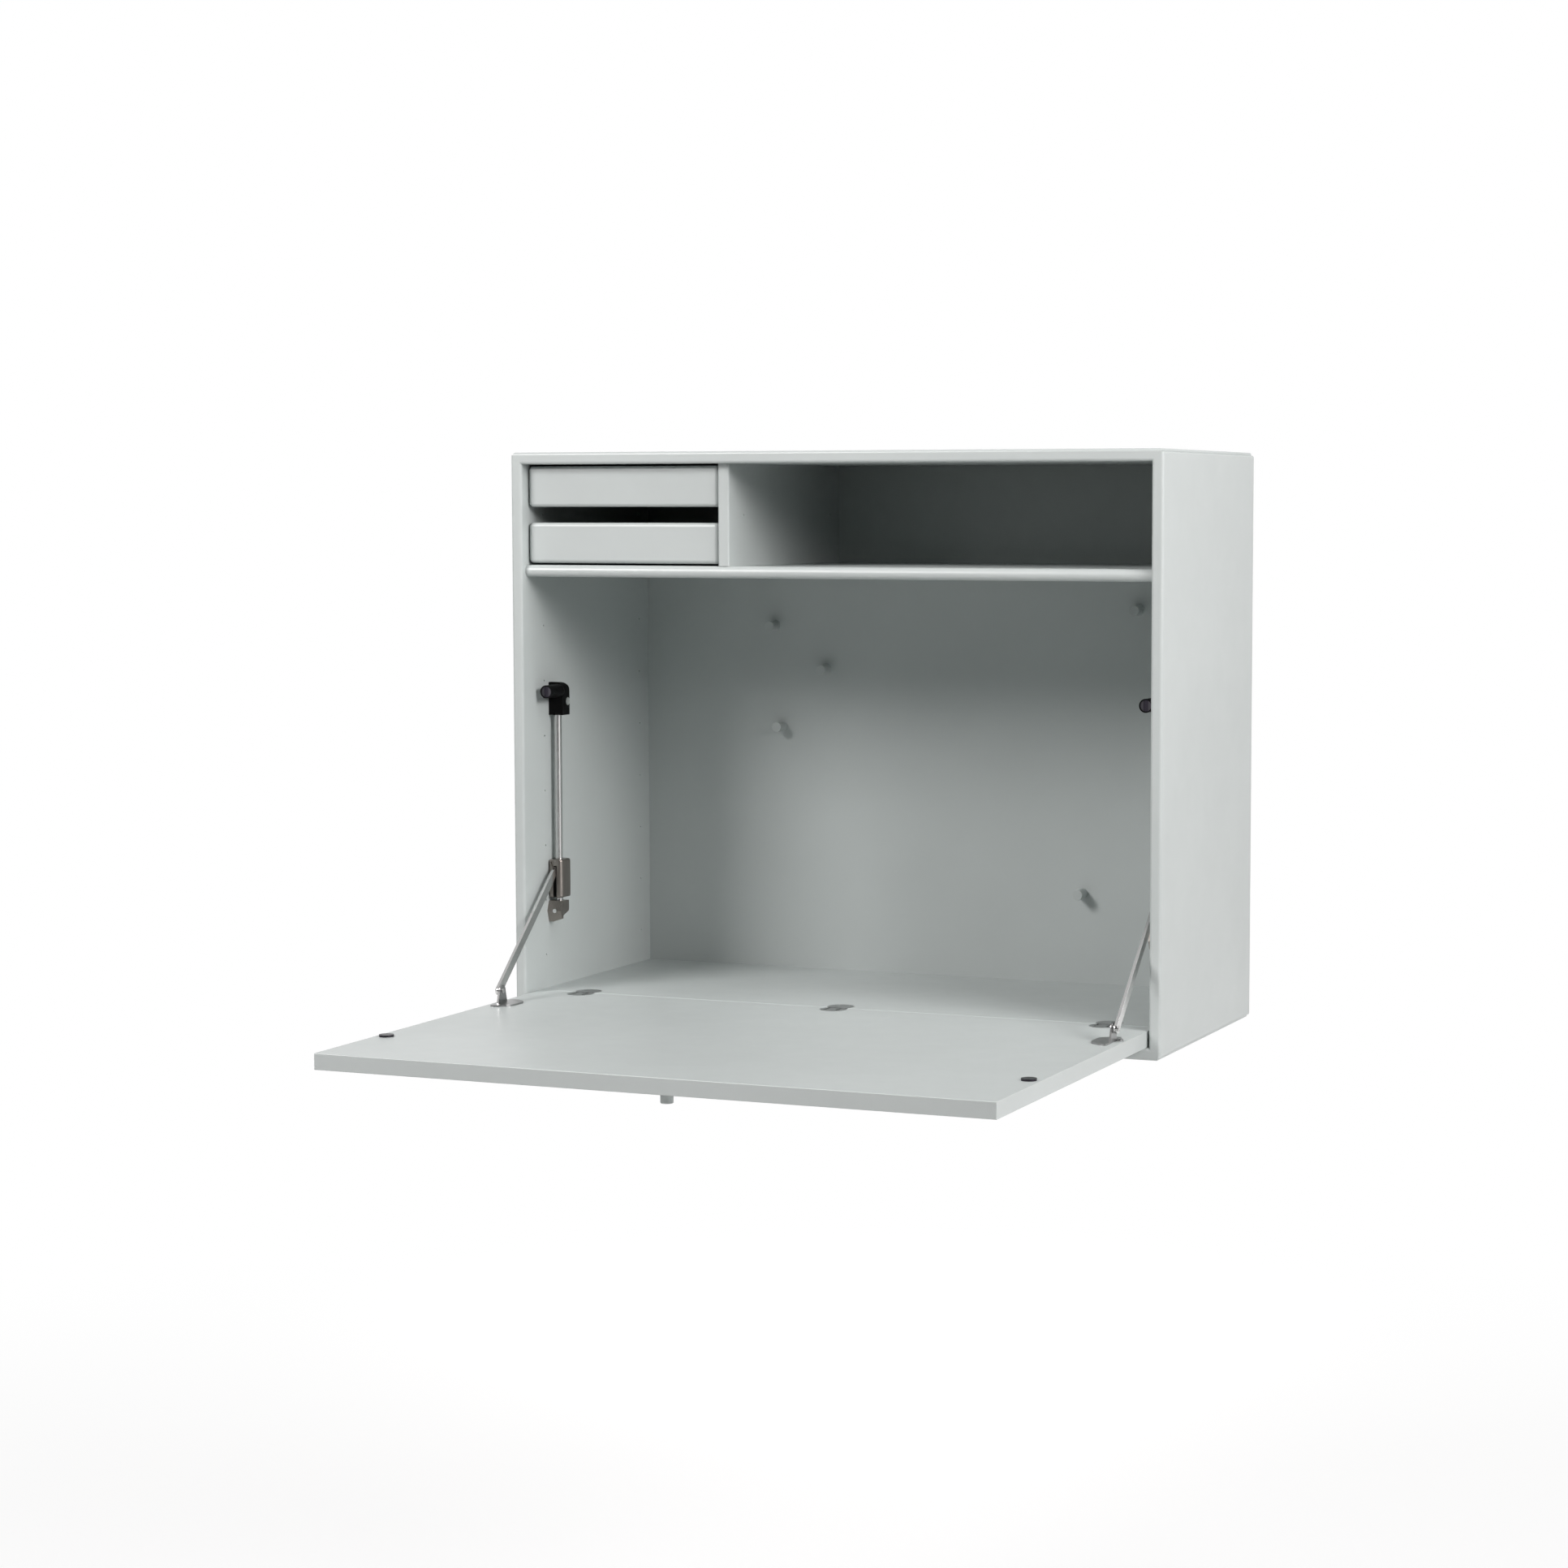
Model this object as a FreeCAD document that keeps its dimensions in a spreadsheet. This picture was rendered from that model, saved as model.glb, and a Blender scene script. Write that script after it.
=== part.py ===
import FreeCAD, Part
import os
import re
import Sketcher

# A wall-hung writing cabinet whose front folds down into a desk top.
# Model axes: X to the right from the middle, Y from the wall (0) with the front at negative Y,
# Z up from the underside of the cabinet. Every sub-part is then lowered as one, so that the
# origin lies in the middle of the two wall screws.

SIZES = [
    ("cabinet_width", 696.0, "outside width"),
    ("cabinet_height", 582.0, "outside height"),
    ("cabinet_depth", 300.0, "outside depth"),
    ("panel", 12.0, "thickness of the outer panels, the shelf and the divider"),
    ("edge_round", 3.0, "rounding of the front edges of the outer panels"),
    ("corner_round", 2.0, "rounding of the mitre tips"),
    ("back_thick", 7.0, "thickness of the back panel"),
    ("back_groove", 4.0, "depth of the groove that holds the back panel's edge"),
    ("back_recess", 7.0, "from the back panel to the wall"),
    ("sheet_thick", 1.0, "thickness of the steel sheet on the back panel"),
    ("floor_thick", 16.0, "thickness of the raised floor plate"),
    ("floor_setback", 30.0, "from the cabinet front to the floor plate"),
    ("floor_round", 1.2, "rounding of the floor plate's upper front edge"),
    ("top_bay", 102.0, "clear height of the bay over the shelf"),
    ("shelf_setback", 7.0, "from the cabinet front to the shelf"),
    ("tray_bay", 216.0, "clear width of the tray bay"),
    ("divider_setback", 10.0, "from the cabinet front to the divider"),
    ("divider_round", 2.0, "rounding of the divider's front edges"),
    ("hole_pitch", 57.0, "pitch of the shelf pilot holes"),
    ("hole_radius", 1.0, "radius of a pilot hole"),
    ("hole_depth", 8.0, "depth of a pilot hole"),
    ("hole_front", 45.0, "front hole row, from the cabinet front"),
    ("hole_back", 37.0, "back hole row, from the cabinet back"),
    ("dowel_radius", 3.0, "radius of a wooden dowel"),
    ("dowel_reach", 14.0, "how far a dowel reaches into the shelf or divider"),
    ("dowel_depth", 7.0, "how far a dowel reaches into the panel beside it"),
    ("spline_width", 10.0, "width of the loose tongue in a mitre"),
    ("spline_thick", 3.0, "thickness of the loose tongue in a mitre"),
    ("spline_end", 20.0, "from a tongue's end to the front and back of the cabinet"),
    ("rail_length", 600.0, "length of the wall rail"),
    ("rail_thick", 2.0, "steel thickness of the rail and hooks"),
    ("rail_drop", 62.0, "from the cabinet's top down to the wall screws"),
    ("rail_screw_spacing", 500.0, "distance between the wall screws"),
    ("rail_screw_radius", 2.75, "radius of a wall screw hole"),
    ("rail_web", 15.0, "from the wall screws to the rail's lower edge and to its bend"),
    ("rail_lip", 21.0, "height of the rail's upturned lip"),
    ("lip_gap", 0.5, "gap between the rail's web and its lip's back, seen from above"),
    ("hook_width", 40.0, "width of a hanging hook"),
    ("hook_offset", 200.0, "from the middle to a hanging hook"),
    ("hook_lap", 16.0, "how far a hook reaches down behind the rail's lip"),
    ("hook_plate", 34.0, "height of a hook's plate on the back panel"),
    ("hook_screw_spacing", 22.0, "distance between the screws of one hook"),
    ("hook_screw_height", 6.0, "from a hook plate's lower edge to its screws"),
    ("tray_height", 41.0, "height of a tray front"),
    ("tray_lift", 2.0, "gap under a tray front"),
    ("tray_side_gap", 1.0, "gap beside a tray front"),
    ("tray_setback", 13.0, "from the cabinet front to a tray front"),
    ("tray_front_thick", 12.0, "thickness of a tray front"),
    ("tray_corner", 4.5, "corner rounding of a tray front"),
    ("tray_edge", 4.0, "rounding of a tray front's face edges"),
    ("tray_body_gap", 2.0, "gap beside a tray's sides"),
    ("tray_side_thick", 10.0, "thickness of a tray side"),
    ("tray_side_height", 33.0, "height of the tray sides and back"),
    ("tray_side_lift", 2.0, "from the front's lower edge to the tray sides"),
    ("tray_bottom_thick", 4.0, "thickness of a tray bottom"),
    ("tray_back_gap", 23.0, "from a tray to the back panel"),
    ("runner_reach", 8.0, "how far a runner stands out from its panel"),
    ("runner_height", 9.0, "height of a runner"),
    ("runner_back_gap", 26.0, "from a runner to the back panel"),
    ("runner_setback", 5.0, "from a tray front's back to the runner"),
    ("runner_rise", 14.0, "from the tray sides' lower edge to the runner"),
    ("runner_gap", 0.4, "clearance beside and under a runner in its groove"),
    ("flap_thick", 15.5, "thickness of the flap"),
    ("flap_side_gap", 2.0, "gap between the flap and a side panel"),
    ("flap_top_gap", 9.3, "gap over the closed flap"),
    ("flap_heel", 10.0, "rounding of the flap's lower back edge"),
    ("flap_edge", 0.8, "rounding of the flap's other edges"),
    ("hinge_gap", 1.7, "gap between the open flap and the floor plate"),
    ("hinge_inset", 10.15, "from the flap's back edge to the hinge axis"),
    ("hinge_drop", 4.85, "from the flap's upper face to the hinge axis"),
    ("hinge_offset", 52.2, "from a side panel to the middle of the outer hinges"),
    ("cup_radius", 13.7, "radius of a hinge cup"),
    ("cup_inset", 9.0, "from the plate edge to a hinge cup's centre"),
    ("cup_depth", 11.0, "depth of a hinge cup"),
    ("link_offset", 6.0, "from a hinge's middle to its links"),
    ("link_width", 3.0, "width of a hinge link"),
    ("link_radius", 4.4, "radius of a hinge link's eye"),
    ("link_root", 2.0, "how far a hinge link goes into its cup"),
    ("link_gap", 0.2, "clearance round a hinge link"),
    ("hinge_pin_radius", 1.5, "radius of a hinge pin"),
    ("hinge_pin_length", 19.0, "length of a hinge pin"),
    ("running_gap", 0.05, "radial clearance of a turning pin"),
    ("hinge_screw_offset", 7.9, "from a hinge's middle and cup centre to its screws"),
    ("knob_radius", 6.0, "radius of the knob"),
    ("knob_length", 16.8, "length of the knob"),
    ("knob_inset", 51.4, "from the flap's free edge to the knob"),
    ("knob_round", 1.0, "rounding of the knob's end"),
    ("stud_radius", 2.0, "radius of the knob's stud"),
    ("stud_reach", 9.0, "how far the stud goes into the flap and the knob"),
    ("plate_radius", 7.1, "radius of a catch plate"),
    ("plate_thick", 2.0, "thickness of a catch plate"),
    ("catch_height", 337.6, "height of the magnetic catches"),
    ("catch_offset", 12.8, "from a side panel to a catch"),
    ("catch_gap", 0.3, "gap between a closed catch plate and its catch"),
    ("catch_radius", 6.75, "radius of a catch barrel"),
    ("catch_dome", 8.5, "from the rod's axis forward to the middle of the barrel's domed end"),
    ("magnet_radius", 5.5, "radius of a catch magnet"),
    ("magnet_length", 11.0, "length of a catch magnet"),
    ("magnet_recess", 0.5, "from the barrel's rim to the magnet's face"),
    ("magnet_band", 4.8, "width of the band between the magnet's two poles"),
    ("magnet_band_depth", 0.4, "depth of the band between the magnet's two poles"),
    ("rod_offset", 8.0, "from a side panel to the stay rod and arm"),
    ("rod_setback", 59.5, "from the cabinet front to a stay rod"),
    ("rod_radius", 3.8, "radius of a stay rod"),
    ("stay_width", 16.0, "width of the stay's head, slider and foot"),
    ("catch_rise", 25.5, "from the stay head's lower end to the catch in it"),
    ("head_height", 34.0, "height of the stay head"),
    ("head_depth", 15.8, "depth of the stay head"),
    ("head_front", 5.1, "from the rod's axis to the stay head's front"),
    ("head_round", 10.0, "rounding of the stay head's upper back corner"),
    ("head_brow", 1.5, "rounding of the stay head's upper front corner"),
    ("head_shoulder", 6.5, "rounding of the stay head's upper edge towards the room"),
    ("head_hold", 9.0, "how far the rod goes into the head"),
    ("foot_hold", 6.0, "how far the rod goes into the foot"),
    ("foot_top", 118.7, "height of the stay foot's upper end"),
    ("foot_depth", 14.3, "depth of the stay foot"),
    ("foot_front", 8.6, "from the rod's axis to the stay foot's front"),
    ("foot_ridge", 3.5, "how far the ridge across the foot's front stands out"),
    ("foot_height", 21.8, "height of the stay foot at its front"),
    ("foot_back", 11.0, "height of the stay foot at its back"),
    ("foot_lip", 6.7, "height of the lip along the foot's lower front edge"),
    ("foot_slant", 10.8, "width of the slanted part of the foot's lower end"),
    ("foot_slant_rise", 3.4, "rise of the slanted part of the foot's lower end"),
    ("slider_bottom", 122.0, "height of the slider's lower end at rest"),
    ("slider_height", 40.0, "height of the slider"),
    ("slider_depth", 21.5, "depth of the slider"),
    ("slider_front", 10.0, "from the rod's axis to the slider's front"),
    ("slider_round", 3.0, "rounding of the slider's front edge towards the wall"),
    ("slider_room_round", 5.5, "rounding of the slider's front edge towards the room"),
    ("slider_back_round", 3.0, "rounding of the slider's back edges"),
    ("slider_end_round", 2.2, "rounding of the slider's upper and lower edges"),
    ("notch_drop", 2.5, "from the slider's upper end down to the notch over the arm's tip"),
    ("notch_height", 8.0, "height of the notch over the arm's tip"),
    ("notch_width", 10.0, "width of the notch at its upper end"),
    ("notch_depth", 1.2, "depth of the notch in the slider's front"),
    ("slider_wall_gap", 0.6, "gap between the slider and the side panel"),
    ("slot_gap", 0.3, "clearance on each side of the arm in the slider's slot"),
    ("bush_radius", 5.0, "outer radius of the slider's brake bush"),
    ("bush_gap", 0.08, "clearance of the brake bush on the rod"),
    ("bush_end", 4.0, "from the brake bush to the slider's ends"),
    ("screw_head_thick", 1.2, "thickness of a screw's head"),
    ("screw_slot_width", 0.6, "width of a screw's slot"),
    ("screw_slot_depth", 0.5, "depth of a screw's slot"),
    ("screw_grip", 6.0, "how far a screw goes into a panel"),
    ("hinge_screw_head", 2.1, "radius of a hinge screw's head"),
    ("hinge_screw_shank", 1.2, "radius of a hinge screw's shank"),
    ("hinge_screw_bite", 3.0, "how far a hinge screw goes past its cup"),
    ("hook_screw_radius", 1.5, "radius of a hook screw's shank"),
    ("hook_screw_head", 2.8, "radius of a hook screw's head"),
    ("low_head_thick", 0.8, "thickness of a hook or bracket screw's low head"),
    ("bracket_screw_radius", 1.2, "radius of a bracket screw's shank"),
    ("bracket_screw_head", 2.3, "radius of a bracket screw's head"),
    ("bracket_screw_bite", 9.0, "how far a bracket screw goes into the flap"),
    ("runner_screw_radius", 1.3, "radius of a runner screw's shank"),
    ("runner_screw_head", 2.6, "radius of a runner screw's head"),
    ("runner_screw_end", 20.0, "from a runner's end to its screw"),
    ("stay_screw_head", 4.1, "radius of a stay head screw's head"),
    ("stay_screw_radius", 1.9, "radius of a stay head screw's shank"),
    ("head_screw_rise", 13.9, "from the stay head's lower end to its screw"),
    ("head_screw_back", 7.1, "from the rod's axis back to the stay head's screw"),
    ("screw_seat_gap", 0.3, "clearance round a sunk screw head"),
    ("foot_screw_drop", 10.3, "from the stay foot's upper end to its screw and ridge"),
    ("foot_screw_sink", 0.6, "from the foot's ridge in to its screw's head"),
    ("foot_screw_head", 2.2, "radius of the foot screw's head"),
    ("foot_screw_radius", 1.4, "radius of the foot screw's shank"),
    ("foot_screw_depth", 5.2, "depth of the foot screw"),
    ("foot_nose", 2.0, "depth of the lip along the foot's lower front edge"),
    ("arm_thick", 3.0, "thickness of a stay arm"),
    ("arm_width", 9.0, "width of a stay arm"),
    ("arm_tip_radius", 2.5, "radius of the arm's upper end"),
    ("arm_taper", 18.0, "length of the arm's tapered end"),
    ("arm_top_rise", 30.4, "from the slider's lower end to the arm's upper pivot"),
    ("arm_top_front", 7.2, "from the rod's axis forward to the arm's upper pivot"),
    ("slider_pin_radius", 1.2, "radius of the slider's pivot pin"),
    ("slider_pin_cover", 1.8, "from the slider's sides in to the ends of its pivot pin"),
    ("bracket_pivot_reach", 71.2, "from the cabinet front out to the arm's lower pivot"),
    ("bracket_pivot_rise", 13.0, "from the flap to the arm's lower pivot"),
    ("bracket_thick", 2.0, "thickness of a bracket's lug"),
    ("bracket_base", 1.6, "thickness of a bracket's base plate"),
    ("bracket_chord", 46.0, "length of a bracket's base plate along its lug"),
    ("bracket_bulge", 19.5, "width of a bracket's base plate"),
    ("bracket_outer", 27.0, "length of a bracket's base plate at its far side"),
    ("bracket_shoulder", 6.5, "width of the base plate before it narrows"),
    ("bracket_round", 12.0, "rounding of the base plate's outer corners"),
    ("bracket_neck_round", 14.0, "rounding of the base plate where it starts to narrow"),
    ("bracket_heel_round", 1.6, "rounding of the base plate's corners beside the lug"),
    ("bracket_screw_across", 8.0, "from the lug to the base plate's two screws"),
    ("bracket_screw_front", 11.4, "from the lug's middle forward to the front screw"),
    ("bracket_screw_back", 15.3, "from the lug's middle back to the back screw"),
    ("ear_along", 9.5, "from the lug's middle back to the ear's middle"),
    ("lug_radius", 6.0, "radius of a lug's upper end"),
    ("lug_foot", 19.0, "width of a lug's foot"),
    ("washer_radius", 3.3, "radius of the washer between lug and arm"),
    ("washer_thick", 1.0, "thickness of the washer between lug and arm"),
    ("rivet_radius", 2.2, "radius of a stay rivet"),
    ("rivet_head", 2.5, "radius of a stay rivet's head"),
    ("rivet_cap", 0.9, "thickness of a stay rivet's head"),
    ("rivet_gap", 0.1, "play of the arm between the rivet's head and its washer"),
    ("ear_radius", 3.4, "radius of the bracket's ear"),
    ("ear_offset", 2.4, "from the lug's side towards the wall to the ear's middle"),
    ("peg_radius", 5.5, "radius of a magnetic peg"),
    ("peg_length", 16.5, "length of a magnetic peg"),
    ("peg_round", 0.6, "rounding of a peg's front edge"),
]

# Where the five pegs are stuck on the steel sheet: across from the left side, then down from
# the shelf.
PEG_PLACES = [
    ("peg_1", 165.4, 57.0),
    ("peg_2", 225.5, 103.0),
    ("peg_3", 173.4, 166.0),
    ("peg_4", 578.5, 35.5),
    ("peg_5", 518.0, 333.2),
]
for peg_name, peg_across, peg_down in PEG_PLACES:
    SIZES.append((peg_name + "_across", peg_across, "peg, from the cabinet's left side"))
    SIZES.append((peg_name + "_down", peg_down, "peg, from the shelf"))

doc = FreeCAD.newDocument("fold_down_wall_desk")
sheet = doc.addObject("Spreadsheet::Sheet", "sizes")
for row, (alias, value, note) in enumerate(SIZES, 1):
    sheet.set(f"A{row}", note)
    sheet.set(f"B{row}", str(value))
    sheet.setAlias(f"B{row}", alias)
doc.recompute()
ALIASES = {entry[0] for entry in SIZES}
VALUES = {entry[0]: float(sheet.get(entry[0])) for entry in SIZES}

# Places that several sub-parts share, as formulas of the sheet's sizes.
WALL_X = "(-cabinet_width / 2 + panel)"
FRONT = "(-cabinet_depth)"
BACK_FACE = "(-back_recess - back_thick)"
SHEET_FACE = "(-back_recess - back_thick - sheet_thick)"
FLOOR_TOP = "(panel + floor_thick)"
SHELF_TOP = "(cabinet_height - panel - top_bay)"
SHELF_BOTTOM = "(cabinet_height - 2 * panel - top_bay)"
FLOOR_FRONT = "(-cabinet_depth + floor_setback)"
FLAP_BACK = "(-cabinet_depth + floor_setback - hinge_gap)"
FLAP_BOTTOM = "(panel + floor_thick - flap_thick)"
AXIS_Y = "(-cabinet_depth + floor_setback - hinge_gap - hinge_inset)"
AXIS_Z = "(panel + floor_thick - hinge_drop)"
# The closed flap stands from hinge_inset under the axis up to flap_top_gap under the shelf.
FLAP_LENGTH = f"({SHELF_BOTTOM} - flap_top_gap - {AXIS_Z} + hinge_inset)"
FLAP_FRONT = f"({FLAP_BACK} - {FLAP_LENGTH})"
FLAP_WIDTH = "(cabinet_width - 2 * panel - 2 * flap_side_gap)"
ROD_X = f"({WALL_X} + rod_offset)"
ROD_Y = "(-cabinet_depth + rod_setback)"
BRACKET_Y = "(-cabinet_depth - bracket_pivot_reach)"
BRACKET_Z = f"({FLOOR_TOP} + bracket_pivot_rise)"
ARM_TOP_Y = f"({ROD_Y} - arm_top_front)"
ARM_TOP_Z = "(slider_bottom + arm_top_rise)"
CATCH_X = f"({WALL_X} + catch_offset)"
# The closed flap's inner face lies hinge_drop behind the hinge axis.
CATCH_FACE = f"({AXIS_Y} + hinge_drop + plate_thick + catch_gap)"
PLATE_Y = f"({AXIS_Y} + {AXIS_Z} - catch_height)"
OUTER_HINGE_X = "(cabinet_width / 2 - panel - hinge_offset)"
HINGE_PLACES = [("left", f"(-{OUTER_HINGE_X})"), ("middle", "0"), ("right", OUTER_HINGE_X)]
CABINET_SCREW_Y = f"({FLOOR_FRONT} + cup_inset + hinge_screw_offset)"
FLAP_SCREW_Y = f"({FLAP_BACK} - cup_inset - hinge_screw_offset)"
HINGE_SCREW_LOW = f"({FLOOR_TOP} - cup_depth - hinge_screw_bite)"
HEAD_LOW = "(catch_height - catch_rise)"
HEAD_SCREW_Y = f"({ROD_Y} + head_screw_back)"
HEAD_SCREW_Z = f"({HEAD_LOW} + head_screw_rise)"
FOOT_SCREW_Z = "(foot_top - foot_screw_drop)"
RUNNER_Y = "(-cabinet_depth + tray_setback + tray_front_thick + runner_setback)"
RUNNER_LENGTH = f"({BACK_FACE} - runner_back_gap - {RUNNER_Y})"
WALL_SCREW_Z = "(cabinet_height - rail_drop)"
RAIL_BEND = f"({WALL_SCREW_Z} + rail_web)"
LIP_TOP = f"({RAIL_BEND} + rail_lip)"
HOOK_LOW = f"({LIP_TOP} + rail_thick - hook_plate)"
HOOK_SCREW_Z = f"({HOOK_LOW} + hook_screw_height)"
HOOK_SCREW_XS = [f"({side} * hook_offset + {turn} * hook_screw_spacing / 2)"
                 for side in (-1, 1) for turn in (-1, 1)]
LUG_X = f"({ROD_X} + arm_thick / 2 + washer_thick)"
BRACKET_SCREWS = [("front", "bracket_screw_across", "(-bracket_screw_front)"),
                  ("back", "bracket_screw_across", "bracket_screw_back"),
                  ("ear", "(-ear_offset)", "ear_along")]
# A point and an edge match when they are this close.
EPS = 1e-4

sub_parts = []
own_heights = {}


def formula(text):
    """Turn size names into references to the sheet's cells."""
    return re.sub(r"[A-Za-z_][A-Za-z_0-9]*",
                  lambda word: "sizes." + word.group(0) if word.group(0) in ALIASES else word.group(0),
                  str(text))


def number(text):
    """The present value of a formula, from the same cells."""
    cell = doc.getObject("sizes")
    result = cell.evalExpression(formula(text))
    return float(getattr(result, "Value", result))


def bind(thing, prop, text):
    thing.setExpression(prop, formula(text))


def place(thing, x, y, z):
    bind(thing, "Placement.Base.x", x)
    bind(thing, "Placement.Base.y", y)
    bind(thing, "Placement.Base.z", z)
    own_heights[thing.Name] = z


def box(name, x, y, z, length, width, height):
    """A box from its low corner."""
    block = doc.addObject("Part::Box", name)
    bind(block, "Length", length)
    bind(block, "Width", width)
    bind(block, "Height", height)
    place(block, x, y, z)
    return block


def rod(name, axis, x, y, z, radius, length):
    """A cylinder from the centre of its low end."""
    turns = {"x": FreeCAD.Rotation(FreeCAD.Vector(0, 1, 0), 90),
             "y": FreeCAD.Rotation(FreeCAD.Vector(1, 0, 0), -90),
             "z": FreeCAD.Rotation()}
    bar = doc.addObject("Part::Cylinder", name)
    bar.Placement = FreeCAD.Placement(FreeCAD.Vector(0, 0, 0), turns[axis])
    bind(bar, "Radius", radius)
    bind(bar, "Height", length)
    place(bar, x, y, z)
    return bar


def ball(name, x, y, z, radius):
    shape = doc.addObject("Part::Sphere", name)
    bind(shape, "Radius", radius)
    place(shape, x, y, z)
    return shape


def fuse(name, shapes):
    joined = doc.addObject("Part::MultiFuse", name)
    joined.Shapes = shapes
    joined.Refine = True
    return joined


def cut(name, base, tools):
    """Take one or more tools away from the base."""
    tool = tools[0]
    if len(tools) > 1:
        tool = doc.addObject("Part::Compound", name + "_tools")
        tool.Links = tools
    result = doc.addObject("Part::Cut", name)
    result.Base = base
    result.Tool = tool
    return result


def common(name, first, second):
    result = doc.addObject("Part::Common", name)
    result.Base = first
    result.Tool = second
    return result


def group(name, members):
    """Separate solids that share one node."""
    bundle = doc.addObject("Part::Compound", name)
    bundle.Links = members
    return bundle


def mirrored(name, source):
    """The same piece on the other side of the middle."""
    twin = doc.addObject("Part::Mirroring", name)
    twin.Source = source
    twin.Normal = FreeCAD.Vector(1, 0, 0)
    return twin


def keep(label, thing):
    """Name a finished sub-part and lower it with all others to the wall screws' height."""
    thing.Label = label
    own_height = own_heights.get(thing.Name, "0")
    bind(thing, "Placement.Base.z", f"({own_height}) - {WALL_SCREW_Z}")
    sub_parts.append((label, thing))
    return thing


def keep_pair(label, left):
    """Keep the left piece and its mirror twin."""
    twin = mirrored(label + "_right_twin", left)
    keep(label + "_left", left)
    twin.Label = label + "_right"
    sub_parts.append((label + "_right", twin))


def origin_plane(body, role):
    for feature in body.Origin.OriginFeatures:
        if feature.Role == role:
            return feature
    raise RuntimeError("no plane " + role)


def tie_point(sketch, edge, end, across, up):
    """Hold a line's end at its place from the sketch's origin."""
    for kind, text in (("DistanceX", across), ("DistanceY", up)):
        value = number(text)
        index = sketch.addConstraint(Sketcher.Constraint(kind, -1, 1, edge, end, value))
        sketch.setExpression(f"Constraints[{index}]", formula(text))


def padded(name, plane, points, start, length, rounds=()):
    """A body: a closed outline on an origin plane, padded along the plane's axis from start.

    plane is XY, XZ or YZ. points are (across, up) formulas. rounds are (corner numbers, radius)."""
    body = doc.addObject("PartDesign::Body", name)
    sketch = body.newObject("Sketcher::SketchObject", name + "_outline")
    sketch.AttachmentSupport = (origin_plane(body, plane + "_Plane"), [""])
    sketch.MapMode = "FlatFace"
    spots = [FreeCAD.Vector(number(a), number(b), 0) for a, b in points]
    count = len(spots)
    for corner in range(count):
        sketch.addGeometry(Part.LineSegment(spots[corner], spots[(corner + 1) % count]), False)
    for corner in range(count):
        sketch.addConstraint(Sketcher.Constraint("Coincident", corner, 2, (corner + 1) % count, 1))
    for corner, (across, up) in enumerate(points):
        tie_point(sketch, corner, 1, across, up)
    sign = "-1 * " if plane == "XZ" else ""
    bind(sketch, "AttachmentOffset.Base.z", f"{sign}({start})")
    pad = body.newObject("PartDesign::Pad", name + "_pad")
    pad.Profile = sketch
    pad.Reversed = plane == "XZ"
    bind(pad, "Length", length)
    doc.recompute()
    last = pad
    for index, (corners, radius) in enumerate(rounds):
        edges = [edge for corner in corners for edge in edges_at(last.Shape, plane, spots[corner])]
        last = rounded(body, f"{name}_round_{index}", last, edges, radius)
    return body


def edges_at(shape, plane, spot):
    """The names of the straight edges along the pad's axis at one corner of the outline."""
    names = []
    for index, edge in enumerate(shape.Edges, 1):
        ends = [vertex.Point for vertex in edge.Vertexes]
        flat = [{"XY": (p.x, p.y), "XZ": (p.x, p.z), "YZ": (p.y, p.z)}[plane] for p in ends]
        if len(flat) == 2 and all(abs(a - spot.x) < EPS and abs(b - spot.y) < EPS for a, b in flat):
            names.append(f"Edge{index}")
    return names


def rounded(body, name, base, edges, radius):
    fillet = body.newObject("PartDesign::Fillet", name)
    fillet.Base = (base, edges)
    bind(fillet, "Radius", radius)
    doc.recompute()
    body.Tip = fillet
    return fillet


def face_edges(shape, axis, value):
    """The names of the edges that lie in one plane across an axis."""
    names = []
    for index, edge in enumerate(shape.Edges, 1):
        bounds = edge.BoundBox
        low = getattr(bounds, axis + "Min")
        high = getattr(bounds, axis + "Max")
        if abs(low - value) < 1e-3 and abs(high - value) < 1e-3:
            names.append(f"Edge{index}")
    return names


def slotted_screw(name, axis, sign, x, y, z, head_radius, head_height, shank_radius, shank_length):
    """A screw whose head's outer face centre is at the point; sign is the way it is driven."""
    start = {"x": x, "y": y, "z": z}
    head_start = dict(start)
    shank_start = dict(start)
    slot_start = dict(start)
    if sign < 0:
        head_start[axis] = f"({start[axis]} - {head_height})"
        shank_start[axis] = f"({start[axis]} - {head_height} - {shank_length})"
        slot_start[axis] = f"({start[axis]} - screw_slot_depth)"
    else:
        shank_start[axis] = f"({start[axis]} + {head_height})"
    head = rod(name + "_head", axis, head_start["x"], head_start["y"], head_start["z"],
               head_radius, head_height)
    shank = rod(name + "_shank", axis, shank_start["x"], shank_start["y"], shank_start["z"],
                shank_radius, shank_length)
    spans = {"x": "screw_slot_width", "y": "screw_slot_width", "z": "screw_slot_width"}
    spans[axis] = "screw_slot_depth"
    along = "y" if axis == "x" else "x"
    spans[along] = f"(4 * {head_radius})"
    for side in "xyz":
        if side != axis:
            slot_start[side] = f"({start[side]} - {spans[side]} / 2)"
    slot = box(name + "_slot", slot_start["x"], slot_start["y"], slot_start["z"],
               spans["x"], spans["y"], spans["z"])
    return cut(name, fuse(name + "_blank", [head, shank]), [slot])


def front_bar(name, low_z):
    """A full-width board with both front edges rounded, for the top and bottom panels."""
    high_z = f"({low_z} + panel)"
    points = [(FRONT, low_z), ("0", low_z), ("0", high_z), (FRONT, high_z)]
    return padded(name, "YZ", points, "-cabinet_width / 2", "cabinet_width",
                  [((0, 3), "edge_round")])


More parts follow.
